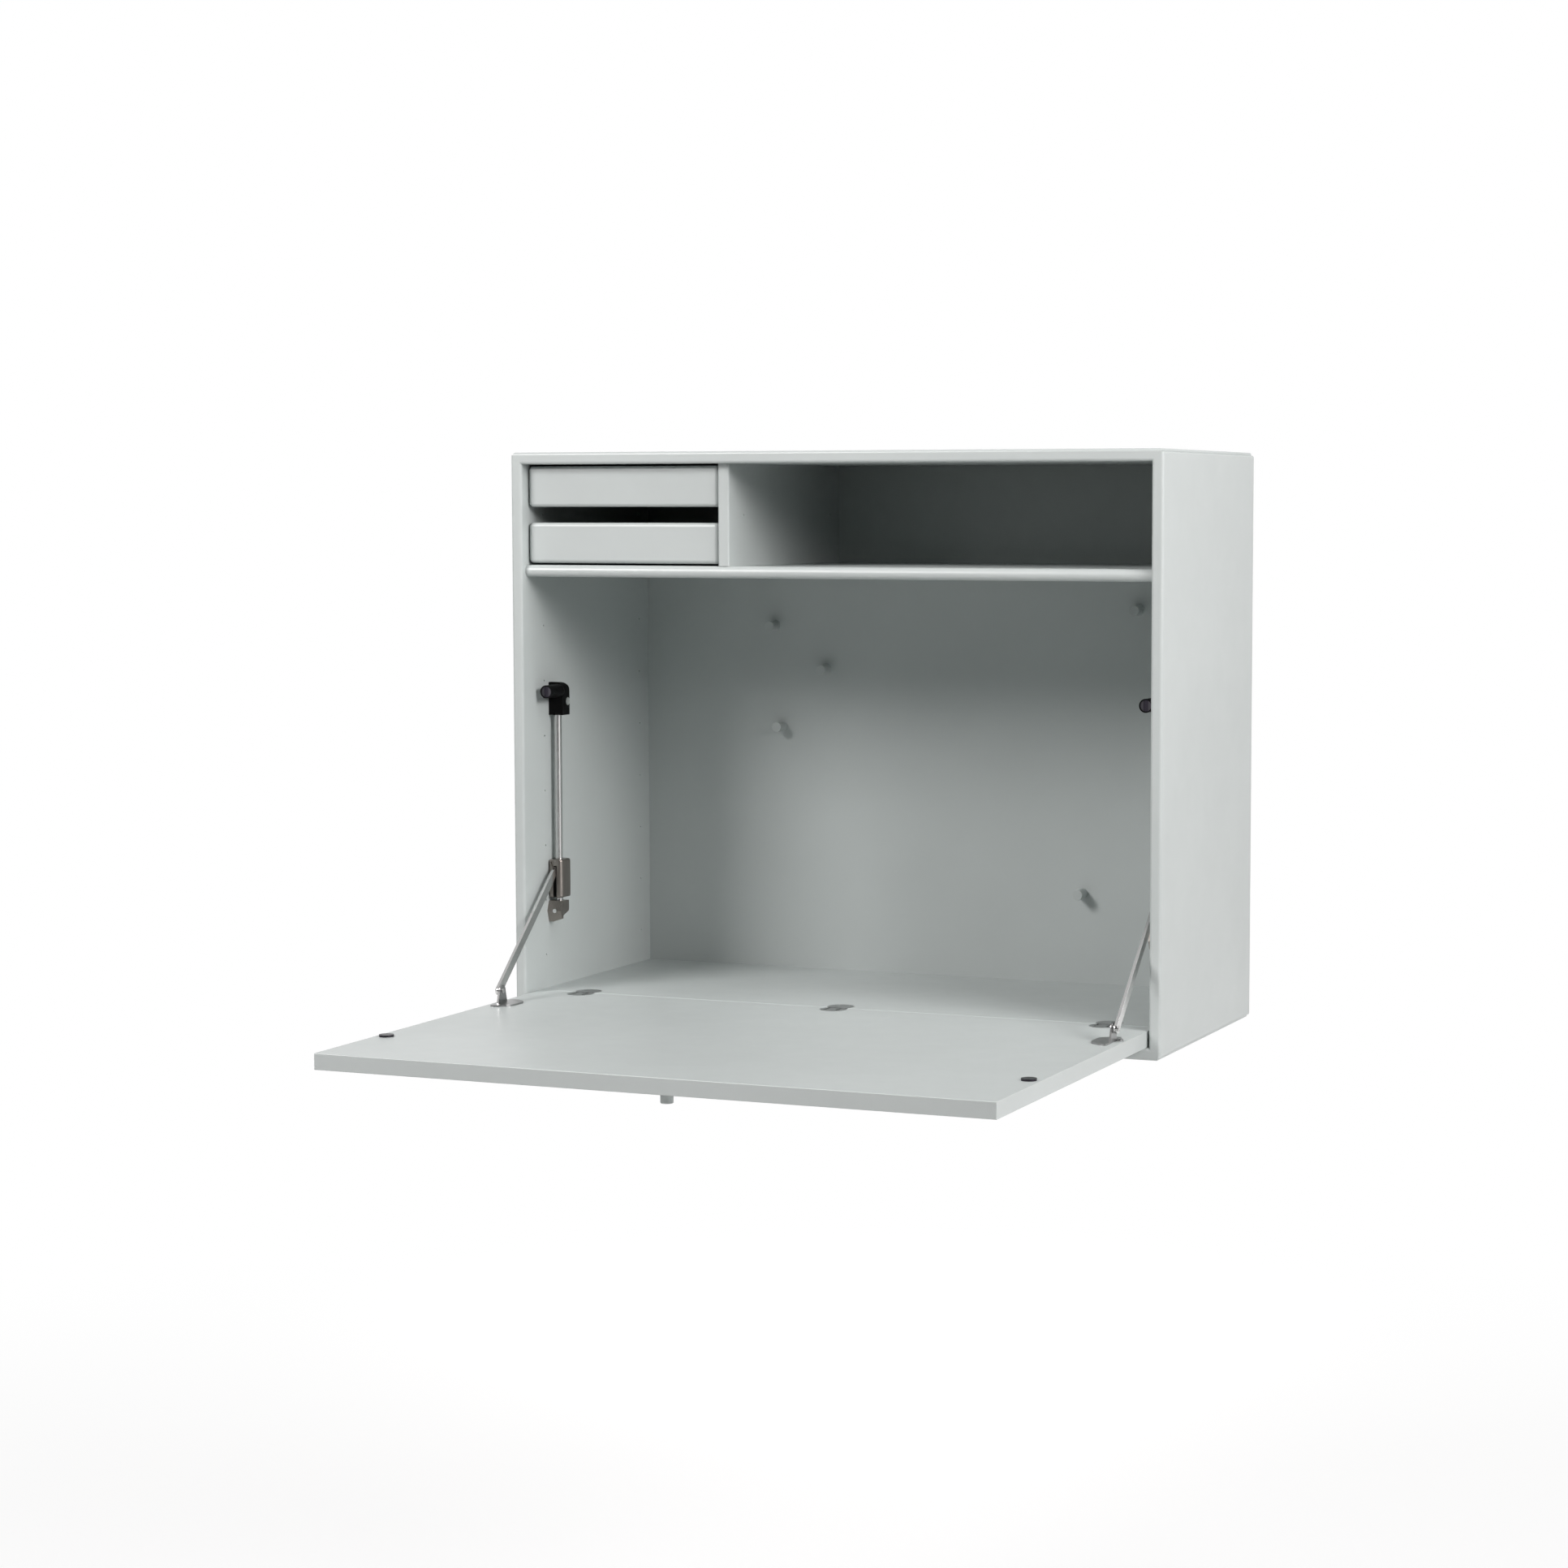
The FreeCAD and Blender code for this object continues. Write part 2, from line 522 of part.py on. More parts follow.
def cabinet_shell():
    """Four mitred panels: each one a board with rounded front edges, cut to a mitred outline."""
    half = "(cabinet_width / 2)"
    inner = "(cabinet_width / 2 - panel)"
    top_outline = [(f"-{half}", "cabinet_height"), (half, "cabinet_height"),
                   (inner, "cabinet_height - panel"), (f"-{inner}", "cabinet_height - panel")]
    top_mitre = padded("top_mitre", "XZ", top_outline, "-cabinet_depth", "cabinet_depth",
                       [((0, 1), "corner_round")])
    spline_slots = spline_boxes("spline_slot")
    top = common("top_blank", front_bar("top_bar", "(cabinet_height - panel)"), top_mitre)
    divider_top = dowel_rods("divider_top_hole", "divider", ["top"])
    keep("top_panel", cut("top_panel", top, spline_slots[0:2] + divider_top))

    bottom_outline = [(f"-{half}", "0"), (f"-{inner}", "panel"), (inner, "panel"), (half, "0")]
    bottom_mitre = padded("bottom_mitre", "XZ", bottom_outline, "-cabinet_depth", "cabinet_depth",
                          [((0, 3), "corner_round")])
    bottom = common("bottom_blank", front_bar("bottom_bar", "0"), bottom_mitre)
    keep("bottom_panel", cut("bottom_panel", bottom, spline_slots[2:4]))

    side_outline = [(f"-{half}", "0"), (f"-{inner}", "panel"),
                    (f"-{inner}", "cabinet_height - panel"), (f"-{half}", "cabinet_height")]
    side_mitre = padded("side_mitre", "XZ", side_outline, "-cabinet_depth", "cabinet_depth",
                        [((0, 3), "corner_round")])
    side_bar_outline = [(f"-{half}", FRONT), (f"-{inner}", FRONT), (f"-{inner}", "0"),
                        (f"-{half}", "0")]
    side_bar = padded("side_bar", "XY", side_bar_outline, "0", "cabinet_height",
                      [((0, 1), "edge_round")])
    side = common("side_blank", side_bar, side_mitre)
    side_tools = [spline_slots[0], spline_slots[2]] + dowel_rods("side_hole", "shelf", ["left"])
    side_tools += pilot_holes() + back_groove()
    side_tools.append(rod("head_screw_side_hole", "x", f"({WALL_X} - screw_grip)", HEAD_SCREW_Y,
                          HEAD_SCREW_Z, "stay_screw_radius", "screw_grip"))
    drilled = cut("side_drilled", side, side_tools)
    holes = [runner_screw_rod(f"side_runner_hole_{level}_{step}", level, 0, step)
             for level in (0, 1) for step in (0, 1)]
    keep("side_panel_left", cut("side_panel_left", drilled, holes))
    keep("side_panel_right", group("side_panel_right", [mirrored("side_twin", drilled)]))
    keep("mitre_splines", group("mitre_splines", spline_boxes("mitre_spline")))


def spline_boxes(name):
    """Loose tongues across the four mitres: upper left, upper right, lower left, lower right."""
    bars = []
    for index, (side, level) in enumerate(((-1, 1), (1, 1), (-1, 0), (1, 0))):
        bar = doc.addObject("Part::Box", f"{name}_{index}")
        bind(bar, "Length", "spline_width")
        bind(bar, "Width", "cabinet_depth - 2 * spline_end")
        bind(bar, "Height", "spline_thick")
        lean = -45 if (side > 0) == (level == 0) else 45
        turn = FreeCAD.Rotation(FreeCAD.Vector(0, 1, 0), lean)
        bar.Placement = FreeCAD.Placement(FreeCAD.Vector(0, 0, 0), turn)
        middle_x = f"{side} * (cabinet_width / 2 - panel / 2)"
        middle_z = "(cabinet_height - panel / 2)" if level else "(panel / 2)"
        # The tongue's middle, seen from its own low corner after the turn.
        swing = 1 if lean > 0 else -1
        across = f"(spline_width / 2 + {swing} * spline_thick / 2) * sqrt(0.5)"
        rise = f"({-swing} * spline_width / 2 + spline_thick / 2) * sqrt(0.5)"
        place(bar, f"{middle_x} - {across}", "-cabinet_depth + spline_end", f"{middle_z} - {rise}")
        bars.append(bar)
    return bars


def dowel_rods(name, kind, ends):
    """Dowels: two at each end of the shelf, and two at the divider's foot and head."""
    rods = []
    length = "(dowel_reach + dowel_depth)"
    for row, back in enumerate(("(-cabinet_depth + hole_front + dowel_radius * 4)",
                                "(-hole_back - dowel_radius * 4)")):
        for end in ends:
            label = f"{name}_{end}_{row}"
            if kind == "shelf":
                start = f"({WALL_X} - dowel_depth)"
                if end == "right":
                    start = f"(-{WALL_X} - dowel_reach)"
                rods.append(rod(label, "x", start, back, f"{SHELF_BOTTOM} + panel / 2",
                                "dowel_radius", length))
            else:
                middle = f"({WALL_X} + tray_bay + panel / 2)"
                start = f"({SHELF_TOP} - dowel_depth)"
                if end == "top":
                    start = "(cabinet_height - panel - dowel_reach)"
                rods.append(rod(label, "z", middle, back, start, "dowel_radius", length))
    return rods


def pilot_holes():
    """Two rows of blind holes in the left side panel, on the pitch, for loose shelves."""
    start = f"({WALL_X} - hole_depth)"
    holes = []
    for row, back in enumerate(("(-cabinet_depth + hole_front)", "(-hole_back)")):
        for step in (1, 2, 3, 4, 5, 6, 7, 9):
            holes.append(rod(f"pilot_hole_{row}_{step}", "x", start, back,
                             f"panel / 2 + {step} * hole_pitch", "hole_radius", "hole_depth"))
    return holes


def back_groove():
    """The groove in a side panel that the back panel's edge sits in."""
    return [box("side_back_groove", f"({WALL_X} - back_groove)", BACK_FACE, "panel",
                "2 * back_groove", "back_thick", "cabinet_height - 2 * panel")]


def back_and_floor():
    """The back panel with its edges in the side grooves, its steel sheet, and the floor plate."""
    board = box("back_board", f"({WALL_X} - back_groove)", BACK_FACE, "panel",
                "cabinet_width - 2 * panel + 2 * back_groove", "back_thick",
                "cabinet_height - 2 * panel")
    holes = [rod(f"back_hole_{index}", "y", across, "(-back_recess - screw_grip)", HOOK_SCREW_Z,
                 "hook_screw_radius", "screw_grip") for index, across in enumerate(HOOK_SCREW_XS)]
    keep("back_panel", cut("back_panel", board, holes))
    keep("steel_back_sheet", box("steel_back_sheet", WALL_X, SHEET_FACE, FLOOR_TOP,
                                 "cabinet_width - 2 * panel", "sheet_thick",
                                 f"{SHELF_BOTTOM} - {FLOOR_TOP}"))
    points = [(FLOOR_FRONT, "panel"), (BACK_FACE, "panel"), (BACK_FACE, FLOOR_TOP),
              (FLOOR_FRONT, FLOOR_TOP)]
    plate = padded("floor_blank", "YZ", points, WALL_X, "cabinet_width - 2 * panel",
                   [((3,), "floor_round")])
    pockets = hinge_discs("floor_pocket", f"({FLOOR_FRONT} + cup_inset)")
    pockets += screw_rods("floor_screw_hole", CABINET_SCREW_Y, HINGE_SCREW_LOW, "cup_depth")
    keep("floor_plate", cut("floor_plate", plate, pockets))


def shelf_and_divider():
    nose = rod("shelf_nose", "x", WALL_X, "(-cabinet_depth + shelf_setback + panel / 2)",
               f"{SHELF_BOTTOM} + panel / 2", "panel / 2", "cabinet_width - 2 * panel")
    board = box("shelf_board", WALL_X, "(-cabinet_depth + shelf_setback + panel / 2)", SHELF_BOTTOM,
                "cabinet_width - 2 * panel",
                "cabinet_depth - shelf_setback - panel / 2 - back_recess - back_thick", "panel")
    shelf = fuse("shelf_blank", [nose, board])
    shelf_holes = dowel_rods("shelf_hole", "shelf", ["left", "right"])
    shelf_holes += dowel_rods("shelf_foot_hole", "divider", ["foot"])
    keep("middle_shelf", cut("middle_shelf", shelf, shelf_holes))

    left = f"({WALL_X} + tray_bay)"
    right = f"({WALL_X} + tray_bay + panel)"
    front = "(-cabinet_depth + divider_setback)"
    outline = [(left, front), (right, front), (right, BACK_FACE), (left, BACK_FACE)]
    board = padded("divider_blank", "XY", outline, SHELF_TOP, "top_bay",
                   [((0, 1), "divider_round")])
    holes = dowel_rods("divider_hole", "divider", ["foot", "top"])
    for row, back in enumerate(("(-cabinet_depth + hole_front)", "(-hole_back)")):
        holes.append(rod(f"divider_pilot_{row}", "x", f"({right} - hole_depth / 2)", back,
                         "panel / 2 + 9 * hole_pitch", "hole_radius", "hole_depth / 2"))
    holes += [runner_screw_rod(f"divider_runner_hole_{level}_{step}", level, 1, step)
              for level in (0, 1) for step in (0, 1)]
    keep("divider_panel", cut("divider_panel", board, holes))
    keep("shelf_dowels", group("shelf_dowels", dowel_rods("shelf_dowel", "shelf", ["left", "right"])))
    keep("divider_dowels", group("divider_dowels",
                                 dowel_rods("divider_dowel", "divider", ["foot", "top"])))


def wall_fixing():
    """A folded steel rail screwed to the wall, and two hooks on the back panel that hang on it."""
    low = f"({WALL_SCREW_Z} - rail_web)"
    lip_back = "(-rail_thick - lip_gap)"
    lip_front = "(-2 * rail_thick - lip_gap)"
    profile = [("0", low), ("0", f"({RAIL_BEND} + rail_thick)"),
               (lip_back, f"({RAIL_BEND} + rail_thick)"), (lip_back, LIP_TOP), (lip_front, LIP_TOP),
               (lip_front, RAIL_BEND), ("-rail_thick", RAIL_BEND), ("-rail_thick", low)]
    rail = padded("rail_blank", "YZ", profile, "-rail_length / 2", "rail_length")
    holes = [rod(f"wall_screw_hole_{side + 1}", "y", f"{side} * rail_screw_spacing / 2", "-rail_thick",
                 WALL_SCREW_Z, "rail_screw_radius", "rail_thick") for side in (-1, 1)]
    keep("wall_rail", cut("wall_rail", rail, holes))

    front = "(-back_recess)"
    plate_back = "(-back_recess + rail_thick)"
    profile = [(front, HOOK_LOW), (plate_back, HOOK_LOW), (plate_back, LIP_TOP),
               ("-rail_thick", LIP_TOP), ("-rail_thick", f"({LIP_TOP} - hook_lap)"),
               ("0", f"({LIP_TOP} - hook_lap)"), ("0", f"({LIP_TOP} + rail_thick)"),
               (front, f"({LIP_TOP} + rail_thick)")]
    hooks = []
    for side in (-1, 1):
        start = f"({side} * hook_offset - hook_width / 2)"
        blank = padded(f"hook_blank_{side + 1}", "YZ", profile, start, "hook_width")
        holes = [rod(f"hook_hole_{side + 1}_{index}", "y", across, front, HOOK_SCREW_Z,
                     "hook_screw_radius", "rail_thick") for index, across in enumerate(HOOK_SCREW_XS)]
        hooks.append(cut(f"hook_{side + 1}", blank, holes))
    keep("hanging_hooks", group("hanging_hooks", hooks))
    screws = [slotted_screw(f"hook_screw_{index}", "y", -1, across,
                            f"({plate_back} + low_head_thick)", HOOK_SCREW_Z, "hook_screw_head",
                            "low_head_thick", "hook_screw_radius", "(rail_thick + screw_grip)")
              for index, across in enumerate(HOOK_SCREW_XS)]
    keep("hook_screws", group("hook_screws", screws))


def hinge_discs(name, centre_y):
    """The round pockets of the three hinge cups."""
    return [rod(f"{name}_{place_name}", "z", middle, centre_y, f"({FLOOR_TOP} - cup_depth)",
                "cup_radius", "cup_depth") for place_name, middle in HINGE_PLACES]


def screw_rods(name, back, low, length):
    """The shank holes of the hinge screws, two at each hinge."""
    rods = []
    for place_name, middle in HINGE_PLACES:
        for side in (-1, 1):
            rods.append(rod(f"{name}_{place_name}_{side + 1}", "z",
                            f"({middle} + {side} * hinge_screw_offset)", back, low,
                            "hinge_screw_shank", length))
    return rods


def hinge_screws(name, back):
    """Flush slotted screws, two at each hinge."""
    screws = []
    for place_name, middle in HINGE_PLACES:
        for side in (-1, 1):
            screws.append(slotted_screw(f"{name}_{place_name}_{side + 1}", "z", -1,
                                        f"({middle} + {side} * hinge_screw_offset)", back, FLOOR_TOP,
                                        "hinge_screw_head", "screw_head_thick", "hinge_screw_shank",
                                        "(cup_depth + hinge_screw_bite - screw_head_thick)"))
    return screws


def screw_seats(name, middle, back):
    """The head recess and shank hole of both screws in one leaf."""
    tools = []
    for side in (-1, 1):
        across = f"({middle} + {side} * hinge_screw_offset)"
        tools.append(rod(f"{name}_seat_{side + 1}", "z", across, back,
                         f"({FLOOR_TOP} - screw_head_thick)", "hinge_screw_head",
                         "screw_head_thick"))
        tools.append(rod(f"{name}_bore_{side + 1}", "z", across, back, f"({FLOOR_TOP} - cup_depth)",
                         "hinge_screw_shank", "cup_depth"))
    return tools


def cabinet_leaf(place_name, middle):
    """A hinge cup in the floor plate, with two links that reach forward to the pin."""
    centre_y = f"({FLOOR_FRONT} + cup_inset)"
    disc = rod(f"cabinet_cup_disc_{place_name}", "z", middle, centre_y, f"({FLOOR_TOP} - cup_depth)",
               "cup_radius", "cup_depth")
    keep_box = box(f"cabinet_cup_side_{place_name}", f"({middle} - 2 * cup_radius)", FLOOR_FRONT,
                   "panel", "4 * cup_radius", "3 * cup_radius", "2 * floor_thick")
    pieces = [common(f"cabinet_cup_{place_name}", disc, keep_box)]
    holes = screw_seats(f"cabinet_leaf_{place_name}", middle, CABINET_SCREW_Y)
    for side in (-1, 1):
        low_x = f"({middle} + {side} * link_offset - link_width / 2)"
        label = f"{place_name}_{side + 1}"
        pieces.append(rod(f"link_eye_{label}", "x", low_x, AXIS_Y, AXIS_Z, "link_radius", "link_width"))
        pieces.append(box(f"link_bar_{label}", low_x, AXIS_Y, f"({AXIS_Z} - link_radius)",
                          "link_width", f"({FLOOR_FRONT} - {AXIS_Y} + link_root)", "2 * link_radius"))
        holes.append(rod(f"link_hole_{label}", "x", low_x, AXIS_Y, AXIS_Z,
                         "hinge_pin_radius + running_gap", "link_width"))
    return cut(f"cabinet_leaf_{place_name}", fuse(f"cabinet_leaf_blank_{place_name}", pieces), holes)


def flap_blank(name):
    """The flap as a board with its rounded heel, before anything is let into it."""
    points = [(FLAP_FRONT, FLAP_BOTTOM), (FLAP_BACK, FLAP_BOTTOM), (FLAP_BACK, FLOOR_TOP),
              (FLAP_FRONT, FLOOR_TOP)]
    return padded(name, "YZ", points, f"-{FLAP_WIDTH} / 2", FLAP_WIDTH,
                  [((1,), "flap_heel"), ((0, 2, 3), "flap_edge")])


def flap_leaf(place_name, middle):
    """A hinge cup in the flap, slotted for the two links and bored for the pin."""
    centre_y = f"({FLAP_BACK} - cup_inset)"
    disc = rod(f"flap_cup_disc_{place_name}", "z", middle, centre_y, f"({FLOOR_TOP} - cup_depth)",
               "cup_radius", "cup_depth")
    cup = common(f"flap_cup_{place_name}", flap_blank(f"flap_envelope_{place_name}"), disc)
    tools = screw_seats(f"flap_leaf_{place_name}", middle, FLAP_SCREW_Y)
    for side in (-1, 1):
        tools.append(box(f"link_slot_{place_name}_{side + 1}",
                         f"({middle} + {side} * link_offset - link_width / 2 - link_gap)",
                         f"({AXIS_Y} - link_radius - link_gap)", f"({AXIS_Z} - link_radius - link_gap)",
                         "link_width + 2 * link_gap", "2 * cup_radius", "floor_thick"))
    tools.append(rod(f"pin_bore_{place_name}", "x", f"({middle} - hinge_pin_length / 2)", AXIS_Y, AXIS_Z,
                     "hinge_pin_radius", "hinge_pin_length"))
    return cut(f"flap_leaf_{place_name}", cup, tools)


def hinges():
    """Three flush hinges: a cup in the floor plate, a cup in the flap, and the pin they share."""
    keep("hinge_cabinet_leaves", group("hinge_cabinet_leaves",
                                       [cabinet_leaf(*spot) for spot in HINGE_PLACES]))
    keep("hinge_flap_leaves", group("hinge_flap_leaves", [flap_leaf(*spot) for spot in HINGE_PLACES]))
    pins = [rod(f"hinge_pin_{place_name}", "x", f"({middle} - hinge_pin_length / 2)", AXIS_Y, AXIS_Z,
                "hinge_pin_radius", "hinge_pin_length") for place_name, middle in HINGE_PLACES]
    keep("hinge_pins", group("hinge_pins", pins))
    keep("hinge_cabinet_screws", group("hinge_cabinet_screws",
                                       hinge_screws("cabinet_screw", CABINET_SCREW_Y)))
    keep("hinge_flap_screws", group("hinge_flap_screws", hinge_screws("flap_screw", FLAP_SCREW_Y)))


def flap():
    """The flap with its hinge pockets, knob and catch plates."""
    pockets = hinge_discs("flap_pocket", f"({FLAP_BACK} - cup_inset)")
    pockets += screw_rods("flap_screw_hole", FLAP_SCREW_Y, HINGE_SCREW_LOW, "cup_depth")
    knob_y = f"({FLAP_FRONT} + knob_inset)"
    pockets.append(rod("stud_hole", "z", "0", knob_y, FLAP_BOTTOM, "stud_radius", "stud_reach"))
    pockets += bracket_screw_rods("bracket_screw_hole")
    pockets += [mirrored(f"bracket_hole_twin_{index}", hole)
                for index, hole in enumerate(pockets[-3:])]
    keep("flap_panel", cut("flap_panel", flap_blank("flap_board"), pockets))

    knob_low = f"({FLAP_BOTTOM} - knob_length)"
    knob = doc.addObject("PartDesign::Body", "knob_blank")
    sketch = knob.newObject("Sketcher::SketchObject", "knob_circle")
    sketch.AttachmentSupport = (origin_plane(knob, "XY_Plane"), [""])
    sketch.MapMode = "FlatFace"
    sketch.addGeometry(Part.Circle(FreeCAD.Vector(0, number(knob_y), 0), FreeCAD.Vector(0, 0, 1),
                                   number("knob_radius")), False)
    sketch.addConstraint(Sketcher.Constraint("PointOnObject", 0, 3, -2))
    tie = sketch.addConstraint(Sketcher.Constraint("DistanceY", -1, 1, 0, 3, number(knob_y)))
    sketch.setExpression(f"Constraints[{tie}]", formula(knob_y))
    size = sketch.addConstraint(Sketcher.Constraint("Radius", 0, number("knob_radius")))
    sketch.setExpression(f"Constraints[{size}]", formula("knob_radius"))
    bind(sketch, "AttachmentOffset.Base.z", knob_low)
    pad = knob.newObject("PartDesign::Pad", "knob_pad")
    pad.Profile = sketch
    bind(pad, "Length", "knob_length")
    doc.recompute()
    rounded(knob, "knob_round_end", pad, face_edges(pad.Shape, "Z", number(knob_low)), "knob_round")
    stud_hole = rod("knob_stud_hole", "z", "0", knob_y, f"({FLAP_BOTTOM} - stud_reach)",
                    "stud_radius", "stud_reach")
    keep("flap_knob", cut("flap_knob", knob, [stud_hole]))
    keep("knob_stud", rod("knob_stud", "z", "0", knob_y, f"({FLAP_BOTTOM} - stud_reach)",
                          "stud_radius", "2 * stud_reach"))
    plates = [rod(f"catch_plate_{side + 1}", "z", f"({side} * {CATCH_X})", PLATE_Y, FLOOR_TOP,
                  "plate_radius", "plate_thick") for side in (-1, 1)]
    keep("catch_plates", group("catch_plates", plates))


def stay_head():
    """A moulded head on the side panel: it holds the rod's top and the magnetic catch."""
    front = f"({ROD_Y} - head_front)"
    back = f"({front} + head_depth)"
    top = f"({HEAD_LOW} + head_height)"
    room_face = f"({WALL_X} + stay_width)"
    points = [(front, HEAD_LOW), (back, HEAD_LOW), (back, top), (front, top)]
    block = padded("head_block", "YZ", points, WALL_X, "stay_width",
                   [((2,), "head_round"), ((3,), "head_brow")])
    outline = [(WALL_X, HEAD_LOW), (room_face, HEAD_LOW), (room_face, top), (WALL_X, top)]
    shoulder = padded("head_shoulder_block", "XZ", outline, front, "head_depth",
                      [((2,), "head_shoulder")])
    block = common("head_rounded_block", block, shoulder)
    barrel_end = f"({ROD_Y} - catch_dome)"
    barrel = rod("catch_barrel", "y", CATCH_X, CATCH_FACE, "catch_height", "catch_radius",
                 f"({barrel_end} - {CATCH_FACE})")
    dome = ball("catch_barrel_dome", CATCH_X, barrel_end, "catch_height", "catch_radius")
    solid = fuse("head_solid", [block, barrel, dome])
    bores = [rod("head_rod_bore", "z", ROD_X, ROD_Y, HEAD_LOW, "rod_radius", "head_hold"),
             rod("magnet_bore", "y", CATCH_X, CATCH_FACE, "catch_height", "magnet_radius",
                 "magnet_length + magnet_recess"),
             rod("head_screw_bore", "x", WALL_X, HEAD_SCREW_Y, HEAD_SCREW_Z, "stay_screw_radius",
                 "stay_width"),
             rod("head_screw_seat", "x", f"({room_face} - screw_head_thick)", HEAD_SCREW_Y,
                 HEAD_SCREW_Z, "stay_screw_head + screw_seat_gap", "screw_head_thick")]
    keep_pair("stay_head", cut("stay_head_left", solid, bores))

    magnet = rod("magnet_blank", "y", CATCH_X, f"({CATCH_FACE} + magnet_recess)", "catch_height",
                 "magnet_radius", "magnet_length")
    band = box("magnet_pole_gap", f"({CATCH_X} - magnet_band / 2)",
               f"({CATCH_FACE} + magnet_recess)", "catch_height - 2 * magnet_radius",
               "magnet_band", "magnet_band_depth", "4 * magnet_radius")
    keep_pair("catch_magnet", cut("catch_magnet_left", magnet, [band]))


def stay_rod_and_foot():
    """The upright rod, the sheared-off foot block with a ridge across its front, and the screws."""
    low = "(foot_top - foot_hold)"
    keep_pair("stay_rod", rod("stay_rod_left", "z", ROD_X, ROD_Y, low, "rod_radius",
                              f"({HEAD_LOW} + head_hold - {low})"))
    front = f"({ROD_Y} - foot_front)"
    back = f"({front} + foot_depth)"
    bottom = "(foot_top - foot_height)"
    ridge = f"({front} - foot_ridge)"
    points = [(front, "foot_top"), (ridge, FOOT_SCREW_Z), (front, bottom),
              (f"({front} + foot_nose)", bottom),
              (f"({front} + foot_nose)", f"({bottom} + foot_lip)"),
              (back, "(foot_top - foot_back)"), (back, "foot_top")]
    block = padded("foot_block", "YZ", points, WALL_X, "stay_width")
    room_side = f"({WALL_X} + stay_width)"
    wedge = padded("foot_wedge", "XZ",
                   [(f"({room_side} - foot_slant)", bottom), (room_side, bottom),
                    (room_side, f"({bottom} + foot_slant_rise)")], ridge,
                   "foot_depth + foot_ridge")
    head_face = f"({ridge} + foot_screw_sink)"
    shank_start = f"({head_face} + screw_head_thick)"
    bores = [wedge,
             rod("foot_rod_bore", "z", ROD_X, ROD_Y, low, "rod_radius", "foot_hold"),
             rod("foot_screw_seat", "y", ROD_X, ridge, FOOT_SCREW_Z,
                 "foot_screw_head + screw_seat_gap", "foot_screw_sink + screw_head_thick"),
             rod("foot_screw_bore", "y", ROD_X, shank_start, FOOT_SCREW_Z, "foot_screw_radius",
                 "foot_screw_depth")]
    keep_pair("stay_foot", cut("stay_foot_left", block, bores))
    head_screw = slotted_screw("head_screw", "x", -1, room_side, HEAD_SCREW_Y,
                               HEAD_SCREW_Z, "stay_screw_head", "screw_head_thick",
                               "stay_screw_radius", "(stay_width - screw_head_thick + screw_grip)")
    foot_screw = slotted_screw("foot_screw", "y", 1, ROD_X, head_face, FOOT_SCREW_Z,
                               "foot_screw_head", "screw_head_thick", "foot_screw_radius",
                               "foot_screw_depth")
    twins = [mirrored("head_screw_twin", head_screw), mirrored("foot_screw_twin", foot_screw)]
    keep("stay_screws", group("stay_screws", [head_screw, foot_screw] + twins))


